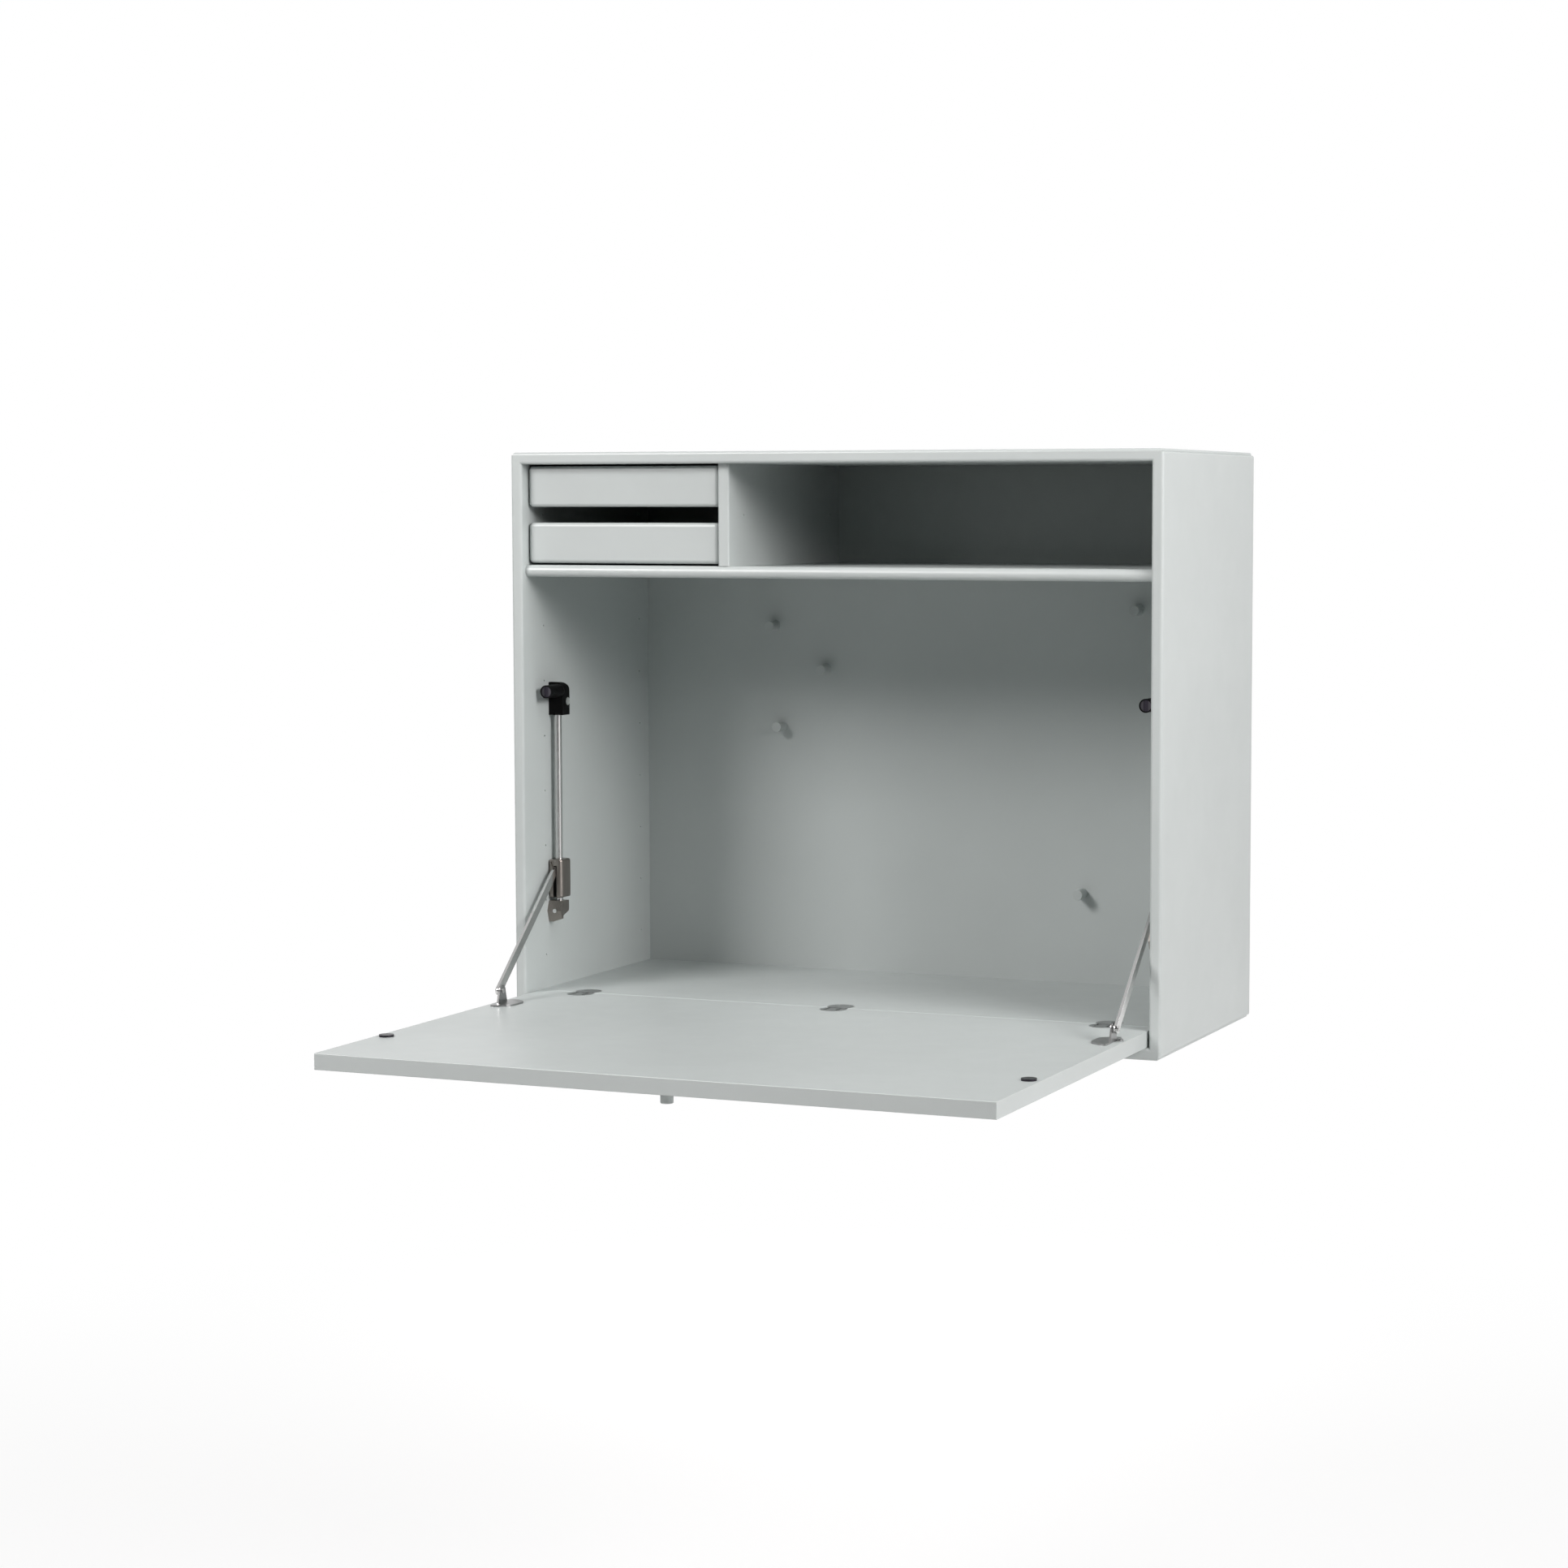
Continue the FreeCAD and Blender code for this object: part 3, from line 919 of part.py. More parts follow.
def slider():
    """The brake block that runs up and down the rod, slotted for the arm."""
    front = f"({ROD_Y} - slider_front)"
    back = f"({front} + slider_depth)"
    low_x = f"({WALL_X} + slider_wall_gap)"
    high_x = f"({WALL_X} + stay_width)"
    outline = [(low_x, front), (high_x, front), (high_x, back), (low_x, back)]
    block = padded("slider_block", "XY", outline, "slider_bottom", "slider_height",
                   [((0,), "slider_round"), ((1,), "slider_room_round"),
                    ((2, 3), "slider_back_round")])
    top = "(slider_bottom + slider_height)"
    ends = face_edges(block.Shape, "Z", number("slider_bottom"))
    ends += face_edges(block.Shape, "Z", number(top))
    rounded(block, "slider_end_rounds", block.Tip, ends, "slider_end_round")
    slot_width = "(arm_thick + 2 * slot_gap)"
    notch_top = f"({top} - notch_drop)"
    notch = padded("slider_notch", "XZ",
                   [(f"({ROD_X} - notch_width / 2)", notch_top),
                    (f"({ROD_X} - {slot_width} / 2)", f"({notch_top} - notch_height)"),
                    (f"({ROD_X} + {slot_width} / 2)", f"({notch_top} - notch_height)"),
                    (f"({ROD_X} + notch_width / 2)", notch_top)], front, "notch_depth")
    slot = box("slider_slot", f"({ROD_X} - {slot_width} / 2)", front, "slider_bottom", slot_width,
               "slider_front", "slider_height")
    bush_low = "(slider_bottom + bush_end)"
    bush_length = "(slider_height - 2 * bush_end)"
    tools = [slot, notch,
             rod("slider_bore", "z", ROD_X, ROD_Y, "slider_bottom", "rod_radius + bush_gap",
                 "slider_height"),
             rod("bush_seat", "z", ROD_X, ROD_Y, bush_low, "bush_radius", bush_length),
             rod("slider_pin_bore", "x", f"({low_x} + slider_pin_cover)", ARM_TOP_Y, ARM_TOP_Z,
                 "slider_pin_radius", "stay_width - slider_wall_gap - 2 * slider_pin_cover")]
    keep_pair("stay_slider", cut("stay_slider_left", block, tools))

    tube = rod("bush_blank", "z", ROD_X, ROD_Y, bush_low, "bush_radius", bush_length)
    bush_tools = [rod("bush_bore", "z", ROD_X, ROD_Y, bush_low, "rod_radius + bush_gap", bush_length),
                  box("bush_slot", f"({ROD_X} - {slot_width} / 2)", f"({ROD_Y} - 2 * bush_radius)",
                      bush_low, slot_width, "2 * bush_radius", bush_length)]
    keep_pair("slider_bush", cut("slider_bush_left", tube, bush_tools))

    # The pin stops short of the slot on both sides, so that the arm can leave it in between.
    wall_stub = rod("slider_pin_wall", "x", f"({low_x} + slider_pin_cover)", ARM_TOP_Y, ARM_TOP_Z,
                    "slider_pin_radius",
                    f"({ROD_X} - {slot_width} / 2 - {low_x} - slider_pin_cover)")
    room_stub = rod("slider_pin_room", "x", f"({ROD_X} + {slot_width} / 2)", ARM_TOP_Y, ARM_TOP_Z,
                    "slider_pin_radius",
                    f"({high_x} - {ROD_X} - {slot_width} / 2 - slider_pin_cover)")
    keep_pair("slider_pin", group("slider_pin_left", [wall_stub, room_stub]))


def stay_arm():
    """A flat bar from the bracket on the flap up to the slider, tapered on its rod side."""
    rise = number(f"{ARM_TOP_Z} - {BRACKET_Z}")
    run = number(f"{ARM_TOP_Y} - {BRACKET_Y}")
    across = FreeCAD.Vector(0, run, rise)
    reach = across.Length
    along = across / reach
    aside = FreeCAD.Vector(0, along.z, -along.y)
    start = FreeCAD.Vector(0, number(BRACKET_Y), number(BRACKET_Z))
    low_x = FreeCAD.Vector(number(f"({ROD_X} - arm_thick / 2)"), 0, 0)
    half = VALUES["arm_width"] / 2
    tip = VALUES["arm_tip_radius"]
    taper = VALUES["arm_taper"]

    def spot(distance, side):
        return low_x + start + along * distance + aside * side

    heel = spot(-half, 0)
    crown = spot(reach + tip, 0)
    edges = [Part.Arc(spot(0, -half), heel, spot(0, half)).toShape(),
             Part.LineSegment(spot(0, half), spot(reach - taper, half)).toShape(),
             Part.LineSegment(spot(reach - taper, half), spot(reach, tip)).toShape(),
             Part.Arc(spot(reach, tip), crown, spot(reach, -tip)).toShape(),
             Part.LineSegment(spot(reach, -tip), spot(reach - taper / 2, -half)).toShape(),
             Part.LineSegment(spot(reach - taper / 2, -half), spot(0, -half)).toShape()]
    outline = Part.Face(Part.Wire(edges))
    bar = outline.extrude(FreeCAD.Vector(VALUES["arm_thick"], 0, 0))
    hole = Part.makeCylinder(VALUES["rivet_radius"] + VALUES["running_gap"], VALUES["arm_thick"],
                             low_x + start, FreeCAD.Vector(1, 0, 0))
    blank = doc.addObject("Part::Feature", "stay_arm_blank")
    blank.Shape = bar.cut(hole)
    keep_pair("stay_arm", group("stay_arm_left", [blank]))


def bracket_screw_rods(name):
    """Shank holes of the left bracket's three screws in the flap."""
    return [rod(f"{name}_{spot}", "z", f"({LUG_X} + {across})", f"({BRACKET_Y} + {along})",
                f"({FLOOR_TOP} - bracket_screw_bite)", "bracket_screw_radius",
                "bracket_screw_bite") for spot, across, along in BRACKET_SCREWS]


def stay_bracket():
    """A folded steel bracket on the flap: an upright lug and a base plate with rounded corners."""
    far_x = f"({LUG_X} + bracket_bulge)"
    neck_x = f"({LUG_X} + bracket_shoulder)"
    outline = [(LUG_X, f"({BRACKET_Y} - bracket_chord / 2)"),
               (neck_x, f"({BRACKET_Y} - bracket_chord / 2)"),
               (far_x, f"({BRACKET_Y} - bracket_outer / 2)"),
               (far_x, f"({BRACKET_Y} + bracket_outer / 2)"),
               (neck_x, f"({BRACKET_Y} + bracket_chord / 2)"),
               (LUG_X, f"({BRACKET_Y} + bracket_chord / 2)")]
    base = padded("bracket_plate", "XY", outline, FLOOR_TOP, "bracket_base",
                  [((2, 3), "bracket_round"), ((1, 4), "bracket_neck_round"),
                   ((0, 5), "bracket_heel_round")])
    points = [(f"({BRACKET_Y} - lug_foot / 2)", FLOOR_TOP), (f"({BRACKET_Y} + lug_foot / 2)", FLOOR_TOP),
              (f"({BRACKET_Y} + lug_radius)", BRACKET_Z), (f"({BRACKET_Y} - lug_radius)", BRACKET_Z)]
    web = padded("bracket_web", "YZ", points, LUG_X, "bracket_thick")
    crown = rod("bracket_crown", "x", LUG_X, BRACKET_Y, BRACKET_Z, "lug_radius", "bracket_thick")
    ear_x = f"({LUG_X} - ear_offset)"
    ear = rod("bracket_ear", "z", ear_x, f"({BRACKET_Y} + ear_along)", FLOOR_TOP, "ear_radius",
              "bracket_base")
    neck = box("bracket_ear_neck", ear_x, f"({BRACKET_Y} + ear_along - ear_radius)", FLOOR_TOP,
               "(ear_offset + bracket_thick / 2)", "2 * ear_radius", "bracket_base")
    solid = fuse("bracket_solid", [base, web, crown, ear, neck])
    holes = [rod("bracket_rivet_hole", "x", LUG_X, BRACKET_Y, BRACKET_Z, "rivet_radius",
                 "bracket_thick")]
    screws = []
    for spot, across, along in BRACKET_SCREWS:
        place_x = f"({LUG_X} + {across})"
        place_y = f"({BRACKET_Y} + {along})"
        holes.append(rod(f"bracket_hole_{spot}", "z", place_x, place_y, FLOOR_TOP,
                         "bracket_screw_radius", "bracket_base"))
        holes.append(rod(f"bracket_seat_{spot}", "z", place_x, place_y,
                         f"({FLOOR_TOP} + bracket_base - low_head_thick)", "bracket_screw_head",
                         "low_head_thick"))
        screws.append(slotted_screw(f"bracket_screw_{spot}", "z", -1, place_x, place_y,
                                    f"({FLOOR_TOP} + bracket_base)", "bracket_screw_head",
                                    "low_head_thick", "bracket_screw_radius",
                                    "(bracket_base - low_head_thick + bracket_screw_bite)"))
    keep_pair("stay_bracket", cut("stay_bracket_left", solid, holes))
    twins = [mirrored(f"bracket_screw_twin_{index}", screw) for index, screw in enumerate(screws)]
    keep("bracket_screws", group("bracket_screws", screws + twins))

    outer_end = f"({ROD_X} - arm_thick / 2 - rivet_gap - rivet_cap)"
    shank = rod("rivet_shank", "x", outer_end, BRACKET_Y, BRACKET_Z, "rivet_radius",
                "(2 * rivet_cap + rivet_gap + arm_thick + washer_thick + bracket_thick)")
    outer_cap = rod("rivet_outer_cap", "x", outer_end, BRACKET_Y, BRACKET_Z, "rivet_head",
                    "rivet_cap")
    inner_cap = rod("rivet_inner_cap", "x", f"({LUG_X} + bracket_thick)", BRACKET_Y, BRACKET_Z,
                    "rivet_head", "rivet_cap")
    washer = rod("rivet_washer", "x", f"({LUG_X} - washer_thick + rivet_gap)", BRACKET_Y, BRACKET_Z,
                 "washer_radius", "(washer_thick - rivet_gap)")
    rivet = fuse("rivet_left", [shank, outer_cap, inner_cap, washer])
    keep("bracket_rivets", group("bracket_rivets", [rivet, mirrored("rivet_right", rivet)]))


def tray(label, level):
    """A shallow tray: a rounded front, grooved sides, a back and a bottom between them."""
    low = f"({SHELF_TOP} + tray_lift + {level} * hole_pitch)"
    left = f"({WALL_X} + tray_side_gap)"
    right = f"({WALL_X} + tray_bay - tray_side_gap)"
    high = f"({low} + tray_height)"
    face_y = "(-cabinet_depth + tray_setback)"
    outline = [(left, low), (right, low), (right, high), (left, high)]
    front = padded(f"{label}_front_body", "XZ", outline, face_y, "tray_front_thick",
                   [((0, 1, 2, 3), "tray_corner")])
    edges = face_edges(front.Shape, "Y", number(face_y))
    rounded(front, f"{label}_front_face_round", front.Tip, edges, "tray_edge")
    keep(f"{label}_front", front)

    inner_y = f"({face_y} + tray_front_thick)"
    body_low = f"({low} + tray_side_lift)"
    body_left = f"({WALL_X} + tray_body_gap)"
    body_right = f"({WALL_X} + tray_bay - tray_body_gap)"
    depth = f"({BACK_FACE} - tray_back_gap - {inner_y})"
    groove_low = f"({body_low} + runner_rise - runner_gap)"
    groove_deep = "(runner_reach - tray_body_gap + runner_gap)"
    sides = []
    for index, (start, groove_start) in enumerate((
            (body_left, body_left),
            (f"({body_right} - tray_side_thick)", f"({body_right} - {groove_deep})"))):
        board = box(f"{label}_side_blank_{index}", start, inner_y, body_low, "tray_side_thick", depth,
                    "tray_side_height")
        groove = box(f"{label}_groove_{index}", groove_start, inner_y, groove_low, groove_deep, depth,
                     "runner_height + runner_gap")
        sides.append(cut(f"{label}_side_{index}", board, [groove]))
    keep(f"{label}_sides", group(f"{label}_sides", sides))

    inside_left = f"({body_left} + tray_side_thick)"
    inside_width = "(tray_bay - 2 * tray_body_gap - 2 * tray_side_thick)"
    keep(f"{label}_bottom", box(f"{label}_bottom", inside_left, inner_y, body_low, inside_width,
                                depth, "tray_bottom_thick"))
    keep(f"{label}_back", box(f"{label}_back", inside_left, f"({inner_y} + {depth} - tray_side_thick)",
                              f"({body_low} + tray_bottom_thick)", inside_width, "tray_side_thick",
                              "(tray_side_height - tray_bottom_thick)"))


def runner_low(level):
    return f"({SHELF_TOP} + tray_lift + {level} * hole_pitch + tray_side_lift + runner_rise)"


def runner_screw_y(step):
    return f"({RUNNER_Y} + runner_screw_end + {step} * ({RUNNER_LENGTH} - 2 * runner_screw_end))"


def runner_screw_rod(name, level, side, step):
    """The hole of one runner screw, through the runner and into the panel it is fixed to."""
    start = f"({WALL_X} - screw_grip)"
    if side:
        start = f"({WALL_X} + tray_bay - runner_reach)"
    return rod(name, "x", start, runner_screw_y(step), f"({runner_low(level)} + runner_height / 2)",
               "runner_screw_radius", "(runner_reach + screw_grip)")


def runners():
    """Four strips on the bay's walls that the trays' grooves ride on."""
    strips = []
    screws = []
    for level in (0, 1):
        for side in (0, 1):
            start = WALL_X
            head_face = f"({WALL_X} + runner_reach)"
            seat = f"({WALL_X} + runner_reach - screw_head_thick)"
            driven = -1
            if side:
                start = f"({WALL_X} + tray_bay - runner_reach)"
                head_face = start
                seat = start
                driven = 1
            name = f"runner_{level}_{side}"
            bar = box(name + "_bar", start, RUNNER_Y, runner_low(level), "runner_reach",
                      RUNNER_LENGTH, "runner_height")
            middle = f"({runner_low(level)} + runner_height / 2)"
            holes = []
            for step in (0, 1):
                label = f"{name}_screw_{step}"
                screws.append(slotted_screw(label, "x", driven, head_face, runner_screw_y(step),
                                            middle, "runner_screw_head", "screw_head_thick",
                                            "runner_screw_radius",
                                            "(runner_reach + screw_grip - screw_head_thick)"))
                holes.append(rod(label + "_seat", "x", seat, runner_screw_y(step), middle,
                                 "runner_screw_head", "screw_head_thick"))
                holes.append(runner_screw_rod(label + "_bore", level, side, step))
            strips.append(cut(name, bar, holes))
    keep("tray_runners", group("tray_runners", strips))
    keep("runner_screws", group("runner_screws", screws))


def peg(name):
    """A short round peg with a magnet in its foot, stuck to the steel sheet."""
    across = f"({name}_across - cabinet_width / 2)"
    up = f"({SHELF_BOTTOM} - {name}_down)"
    body = doc.addObject("PartDesign::Body", name + "_body")
    sketch = body.newObject("Sketcher::SketchObject", name + "_circle")
    sketch.AttachmentSupport = (origin_plane(body, "XZ_Plane"), [""])
    sketch.MapMode = "FlatFace"
    centre = FreeCAD.Vector(number(across), number(up), 0)
    sketch.addGeometry(Part.Circle(centre, FreeCAD.Vector(0, 0, 1), number("peg_radius")), False)
    for kind, text in (("DistanceX", across), ("DistanceY", up)):
        index = sketch.addConstraint(Sketcher.Constraint(kind, -1, 1, 0, 3, number(text)))
        sketch.setExpression(f"Constraints[{index}]", formula(text))
    size = sketch.addConstraint(Sketcher.Constraint("Radius", 0, number("peg_radius")))
    sketch.setExpression(f"Constraints[{size}]", formula("peg_radius"))
    bind(sketch, "AttachmentOffset.Base.z", f"-1 * {SHEET_FACE}")
    pad = body.newObject("PartDesign::Pad", name + "_pad")
    pad.Profile = sketch
    bind(pad, "Length", "peg_length")
    doc.recompute()
    front = number(f"{SHEET_FACE} - peg_length")
    rounded(body, name + "_round", pad, face_edges(pad.Shape, "Y", front), "peg_round")
    keep(name, body)


def check_document():
    """Stop if any object failed to recompute or any sub-part is empty or broken."""
    for thing in doc.Objects:
        if "Invalid" in thing.State or "Error" in thing.State:
            raise RuntimeError(f"{thing.Name} failed: {thing.State}")
    for label, thing in sub_parts:
        shape = thing.Shape
        if shape.isNull() or not shape.isValid() or not shape.Solids:
            raise RuntimeError(f"{label} has no valid solid")


cabinet_shell()
back_and_floor()
shelf_and_divider()
wall_fixing()
hinges()
flap()
stay_head()
stay_rod_and_foot()
slider()
stay_arm()
stay_bracket()
tray("lower_tray", 0)
tray("upper_tray", 1)
runners()
for peg_name, peg_across, peg_down in PEG_PLACES:
    peg(peg_name)

doc.recompute()
check_document()
os.makedirs("parts", exist_ok=True)
for label, thing in sub_parts:
    thing.Shape.exportStep(f"parts/{label}.step")
print(len(sub_parts), "sub-parts")
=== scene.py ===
import math

import bmesh
import bpy
from bpy.props import FloatProperty, FloatVectorProperty, PointerProperty
from bpy.types import Operator, Panel, PropertyGroup
from mathutils import Euler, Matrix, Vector


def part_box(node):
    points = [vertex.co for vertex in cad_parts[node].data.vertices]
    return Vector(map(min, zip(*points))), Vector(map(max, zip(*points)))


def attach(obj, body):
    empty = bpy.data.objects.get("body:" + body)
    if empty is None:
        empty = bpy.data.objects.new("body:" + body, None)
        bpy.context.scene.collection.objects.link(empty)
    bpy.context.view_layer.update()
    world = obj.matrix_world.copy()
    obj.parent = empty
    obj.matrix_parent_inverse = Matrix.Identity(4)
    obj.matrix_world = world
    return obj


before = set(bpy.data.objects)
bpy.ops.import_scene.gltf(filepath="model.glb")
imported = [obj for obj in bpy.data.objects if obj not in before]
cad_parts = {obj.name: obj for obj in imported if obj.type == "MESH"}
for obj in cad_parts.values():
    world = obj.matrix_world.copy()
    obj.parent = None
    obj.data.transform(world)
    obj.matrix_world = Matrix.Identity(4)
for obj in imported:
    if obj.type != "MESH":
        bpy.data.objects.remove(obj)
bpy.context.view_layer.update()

bl_info = {
    "name": "Fold-down wall desk",
    "version": (1, 0, 0),
    "blender": (4, 5, 0),
    "location": "3D View > Sidebar > Wall desk",
    "description": "Finishes, slider caps, lights and camera for a fold-down wall desk",
    "category": "Object",
}

CABINET_BOARDS = ("side_panel_left", "side_panel_right", "top_panel", "bottom_panel", "floor_plate",
                  "middle_shelf", "divider_panel", "back_panel")
DRAWERS = [f"{level}_tray_{part}" for level in ("lower", "upper")
           for part in ("front", "sides", "bottom", "back")]
PEGS = [f"peg_{number}" for number in range(1, 6)]

# The stay arms rise by this angle from the brackets to the sliders.
ARM_LEAN = math.radians(42.05)
# From the middle to the stay rods and arms, and to the magnetic catches.
STAY_X = 0.328
CATCH_X = 0.3232
# The slider's slot and the notch over the arm's tip, as in the source.
SLOT_HALF = 0.0018
NOTCH_DROP = 0.0025
NOTCH_DEPTH = 0.0012
SLIDER_END_ROUND = 0.0022
# The cap that closes the slot over the arm's tip, and the flats along its rounding.
CAP_HEIGHT = 0.0069
CAP_DEPTH = 0.0061
CAP_FLATS = 4

# Half the width of the painted shade in the slider's slot, and of the band on a magnet.
SLOT_SHADE_HALF = 0.0019
MAGNET_BAND_HALF = 0.0024
# Colours that have no setting: painted shade for the inside of the slider's slot, then the
# finishes.
SLOT_PAINTED_SHADE = (0.006, 0.006, 0.006)
HEAD_BLACK = (0.0025, 0.0025, 0.0028)
MAGNET_GREY = (0.11, 0.105, 0.12)
MAGNET_BAND = (0.06, 0.054, 0.07)
PLATE_GREY = (0.05, 0.047, 0.056)
HINGE_SCREW_GREY = (0.58, 0.58, 0.59)
ZINC_GREY = (0.52, 0.53, 0.55)
BEECH_DARK = (0.42, 0.27, 0.15)
BEECH_LIGHT = (0.62, 0.45, 0.28)
# Tones beside the plain lacquer, and beside the plain chrome.
SHEET_SHADE = 0.98
PEG_SHADE = 0.93
ROD_SHADE = 1.05
STAY_SCREW_SHADE = 1.35
# The width of the lacquer's patches of tone and of gloss, and how far its roughness varies.
TONE_PATCH = 0.16
GLOSS_PATCH = 0.03
LACQUER_VARIES = 0.04
LACQUER_IOR = 1.55
# How far the roughness of drawn metal varies.
METAL_VARIES = 0.03
# Width and depth of the plastic's grain and of the beech's flecks.
PLASTIC_GRAIN = 0.0005
PLASTIC_DEPTH = 0.00003
BEECH_FLECK = 0.0022
BEECH_DEPTH = 0.00008
# The stretch of a noise that becomes the whole range of values, and of tones.
VALUE_SPAN = (0.25, 0.75)
TONE_SPAN = (0.3, 0.7)
# Points this close are joined; edges that turn by more degrees than this are softened.
JOIN_REACH = 1e-5
SHARP_ANGLE = 35
SOFT_STEPS = 2

# The point that the lamps face, and each lamp's degrees to the right of the front, and up.
LAMP_TARGET = Vector((0.1, -0.3, -0.25))
LEFT_LAMP = (-38, 32)
RIGHT_LAMP = (65, 24)
SIDE_LAMP = (80, 24)
TOP_LAMP = (60, 70)
BACK_LAMP = (-155, -6)
# Tall soft boxes that only reflections see: degrees to the right of the front, half width.
SOFT_BOXES = ((-38, 13), (71, 19))
# Half the width of their blurred sides in degrees.
SOFT_BOX_BLUR = 4
# Upward shares of a direction: the boxes fade above the first and are gone at the second.
SOFT_BOX_FADES = 0.2
SOFT_BOX_GONE = 0.5
# Shares of a direction along Y: the dim room ends at the first, the backdrop is full at the second.
ROOM_ENDS = -0.5
BACKDROP_FULL = 0.1
ROOM_LEVEL = 0.08

# The round floor, its middle in front of the wall, and the distances where it turns white.
FLOOR_RADIUS = 6
FLOOR_SIDES = 96
FLOOR_Y = -0.35
FLOOR_FADES = 0.9
FLOOR_WHITE = 2.4
# Its grey under the light, and as it is seen: the grey that takes shadow, and the glow on it.
FLOOR_GREY = 0.86
SHADOW_GREY = 0.22
FLOOR_GLOW = 0.82

# The camera's place, its angles below level and to the left in radians, and its shift.
CAMERA_PLACE = (1.30946, -3.29556, 0.00612)
CAMERA_DIP = 0.082481
CAMERA_TURN = 0.383958
CAMERA_SHIFT_X = -0.08558
CAMERA_SHIFT_Y = -0.00081
SENSOR_WIDTH = 36


# Settings that a user would change.

class LacquerSettings(PropertyGroup):
    """The satin lacquer on boards, steel sheet, flap, drawers, knob and pegs."""
    colour: FloatVectorProperty(name="Colour", description="Colour of the lacquer",
                                subtype="COLOR", size=3, min=0, max=1,
                                default=(0.515, 0.552, 0.546))
    roughness: FloatProperty(name="Roughness", description="Mean roughness of the lacquer",
                             subtype="FACTOR", min=0, max=1, default=0.36)
    mottle: FloatProperty(name="Mottle", description="How much the tone drifts over a board",
                          subtype="FACTOR", min=0, max=0.2, default=0.025)
    peel_size: FloatProperty(name="Orange peel size", description="Width of one dimple",
                             subtype="DISTANCE", unit="LENGTH", min=0.0002, max=0.01,
                             default=0.0016)
    peel_depth: FloatProperty(name="Orange peel depth", description="Depth of the dimples",
                              subtype="DISTANCE", unit="LENGTH", min=0, max=0.001,
                              default=0.00002)


class MetalSettings(PropertyGroup):
    """The metals of the stays and hinges."""
    chrome: FloatVectorProperty(name="Chrome",
                                description="Colour of the stay arms, rods, rivets and screws",
                                subtype="COLOR", size=3, min=0, max=1,
                                default=(0.66, 0.655, 0.65))
    dark_steel: FloatVectorProperty(name="Dark steel",
                                    description="Colour of the sliders, slider pins and feet",
                                    subtype="COLOR", size=3, min=0, max=1,
                                    default=(0.30, 0.272, 0.25))
    hinge_steel: FloatVectorProperty(name="Hinge steel",
                                     description="Colour of the hinge leaves and pins",
                                     subtype="COLOR", size=3, min=0, max=1,
                                     default=(0.38, 0.385, 0.385))
    bracket_steel: FloatVectorProperty(name="Bracket steel",
                                       description="Colour of the brackets and their screws",
                                       subtype="COLOR", size=3, min=0, max=1,
                                       default=(0.36, 0.36, 0.36))
    edge: FloatProperty(name="Edge softness", description="Width of the bevel on metal edges",
                        subtype="DISTANCE", unit="LENGTH", min=0.00005, max=0.002,
                        default=0.0003)
    cap_round: FloatProperty(name="Cap rounding", description="Rounding of the slider cap's top",
                             subtype="DISTANCE", unit="LENGTH", min=0.0005, max=0.0024,
                             default=SLIDER_END_ROUND)


class StageSettings(PropertyGroup):
    """Floor, lamps and camera."""
    floor_drop: FloatProperty(name="Floor", description="From the wall screws down to the floor",
                              subtype="DISTANCE", unit="LENGTH", min=0.6, max=3, default=1.22)
    ambient: FloatProperty(name="Ambient", description="Strength of the light from all round",
                           min=0, max=2, default=0.0)
    left_watts: FloatProperty(name="Left lamp", description="Power of the lamp on the left",
                              subtype="POWER", unit="POWER", min=0, max=500, default=48.0)
    right_watts: FloatProperty(name="Right lamp", description="Power of the lamp on the right",
                               subtype="POWER", unit="POWER", min=0, max=500, default=39.2)
    side_watts: FloatProperty(name="Side lamp", description="Power of the lamp beside the desk",
                              subtype="POWER", unit="POWER", min=0, max=500, default=23.2)
    top_watts: FloatProperty(name="Top lamp", description="Power of the lamp overhead",
                             subtype="POWER", unit="POWER", min=0, max=500, default=20.1)
    back_watts: FloatProperty(name="Back lamp", description="Power of the low lamp behind the desk",
                              subtype="POWER", unit="POWER", min=0, max=500, default=30.0)
    lamp_colour: FloatVectorProperty(name="Lamp colour",
                                     description="Colour of all lamps but the one overhead",
                                     subtype="COLOR", size=3, min=0, max=1,
                                     default=(1.0, 0.972, 0.967))
    lamp_size: FloatProperty(name="Lamp size", description="Side of each square lamp",
                             subtype="DISTANCE", unit="LENGTH", min=0.1, max=3, default=0.9)
    lamp_reach: FloatProperty(name="Lamp distance", description="From the desk to each lamp",
                              subtype="DISTANCE", unit="LENGTH", min=1, max=6, default=2.6)
    lens: FloatProperty(name="Focal length", description="Focal length of the camera",
                        subtype="DISTANCE_CAMERA", unit="CAMERA", min=20, max=200,
                        default=76.373)


# Materials.

def new_material(name):
    """An empty node material with its shader joined to the output."""
    material = bpy.data.materials.new(name)
    material.use_nodes = True
    tree = material.node_tree
    tree.nodes.clear()
    shader = tree.nodes.new("ShaderNodeBsdfPrincipled")
    output = tree.nodes.new("ShaderNodeOutputMaterial")
    tree.links.new(shader.outputs["BSDF"], output.inputs["Surface"])
    return material, tree, shader


def noise(tree, size, detail, stretch=(1, 1, 1), lean=0.0):
    """A noise whose features are about size metres wide, longer along the stretched axes.

    lean turns those axes about X."""
    place = tree.nodes.new("ShaderNodeTexCoord")
    mapping = tree.nodes.new("ShaderNodeMapping")
    mapping.vector_type = "TEXTURE"
    mapping.inputs["Rotation"].default_value = (lean, 0, 0)
    mapping.inputs["Scale"].default_value = [size * factor for factor in stretch]
    grain = tree.nodes.new("ShaderNodeTexNoise")
    grain.inputs["Scale"].default_value = 1.0
    grain.inputs["Detail"].default_value = detail
    tree.links.new(place.outputs["Object"], mapping.inputs["Vector"])
    tree.links.new(mapping.outputs["Vector"], grain.inputs["Vector"])
    return grain.outputs["Fac"]


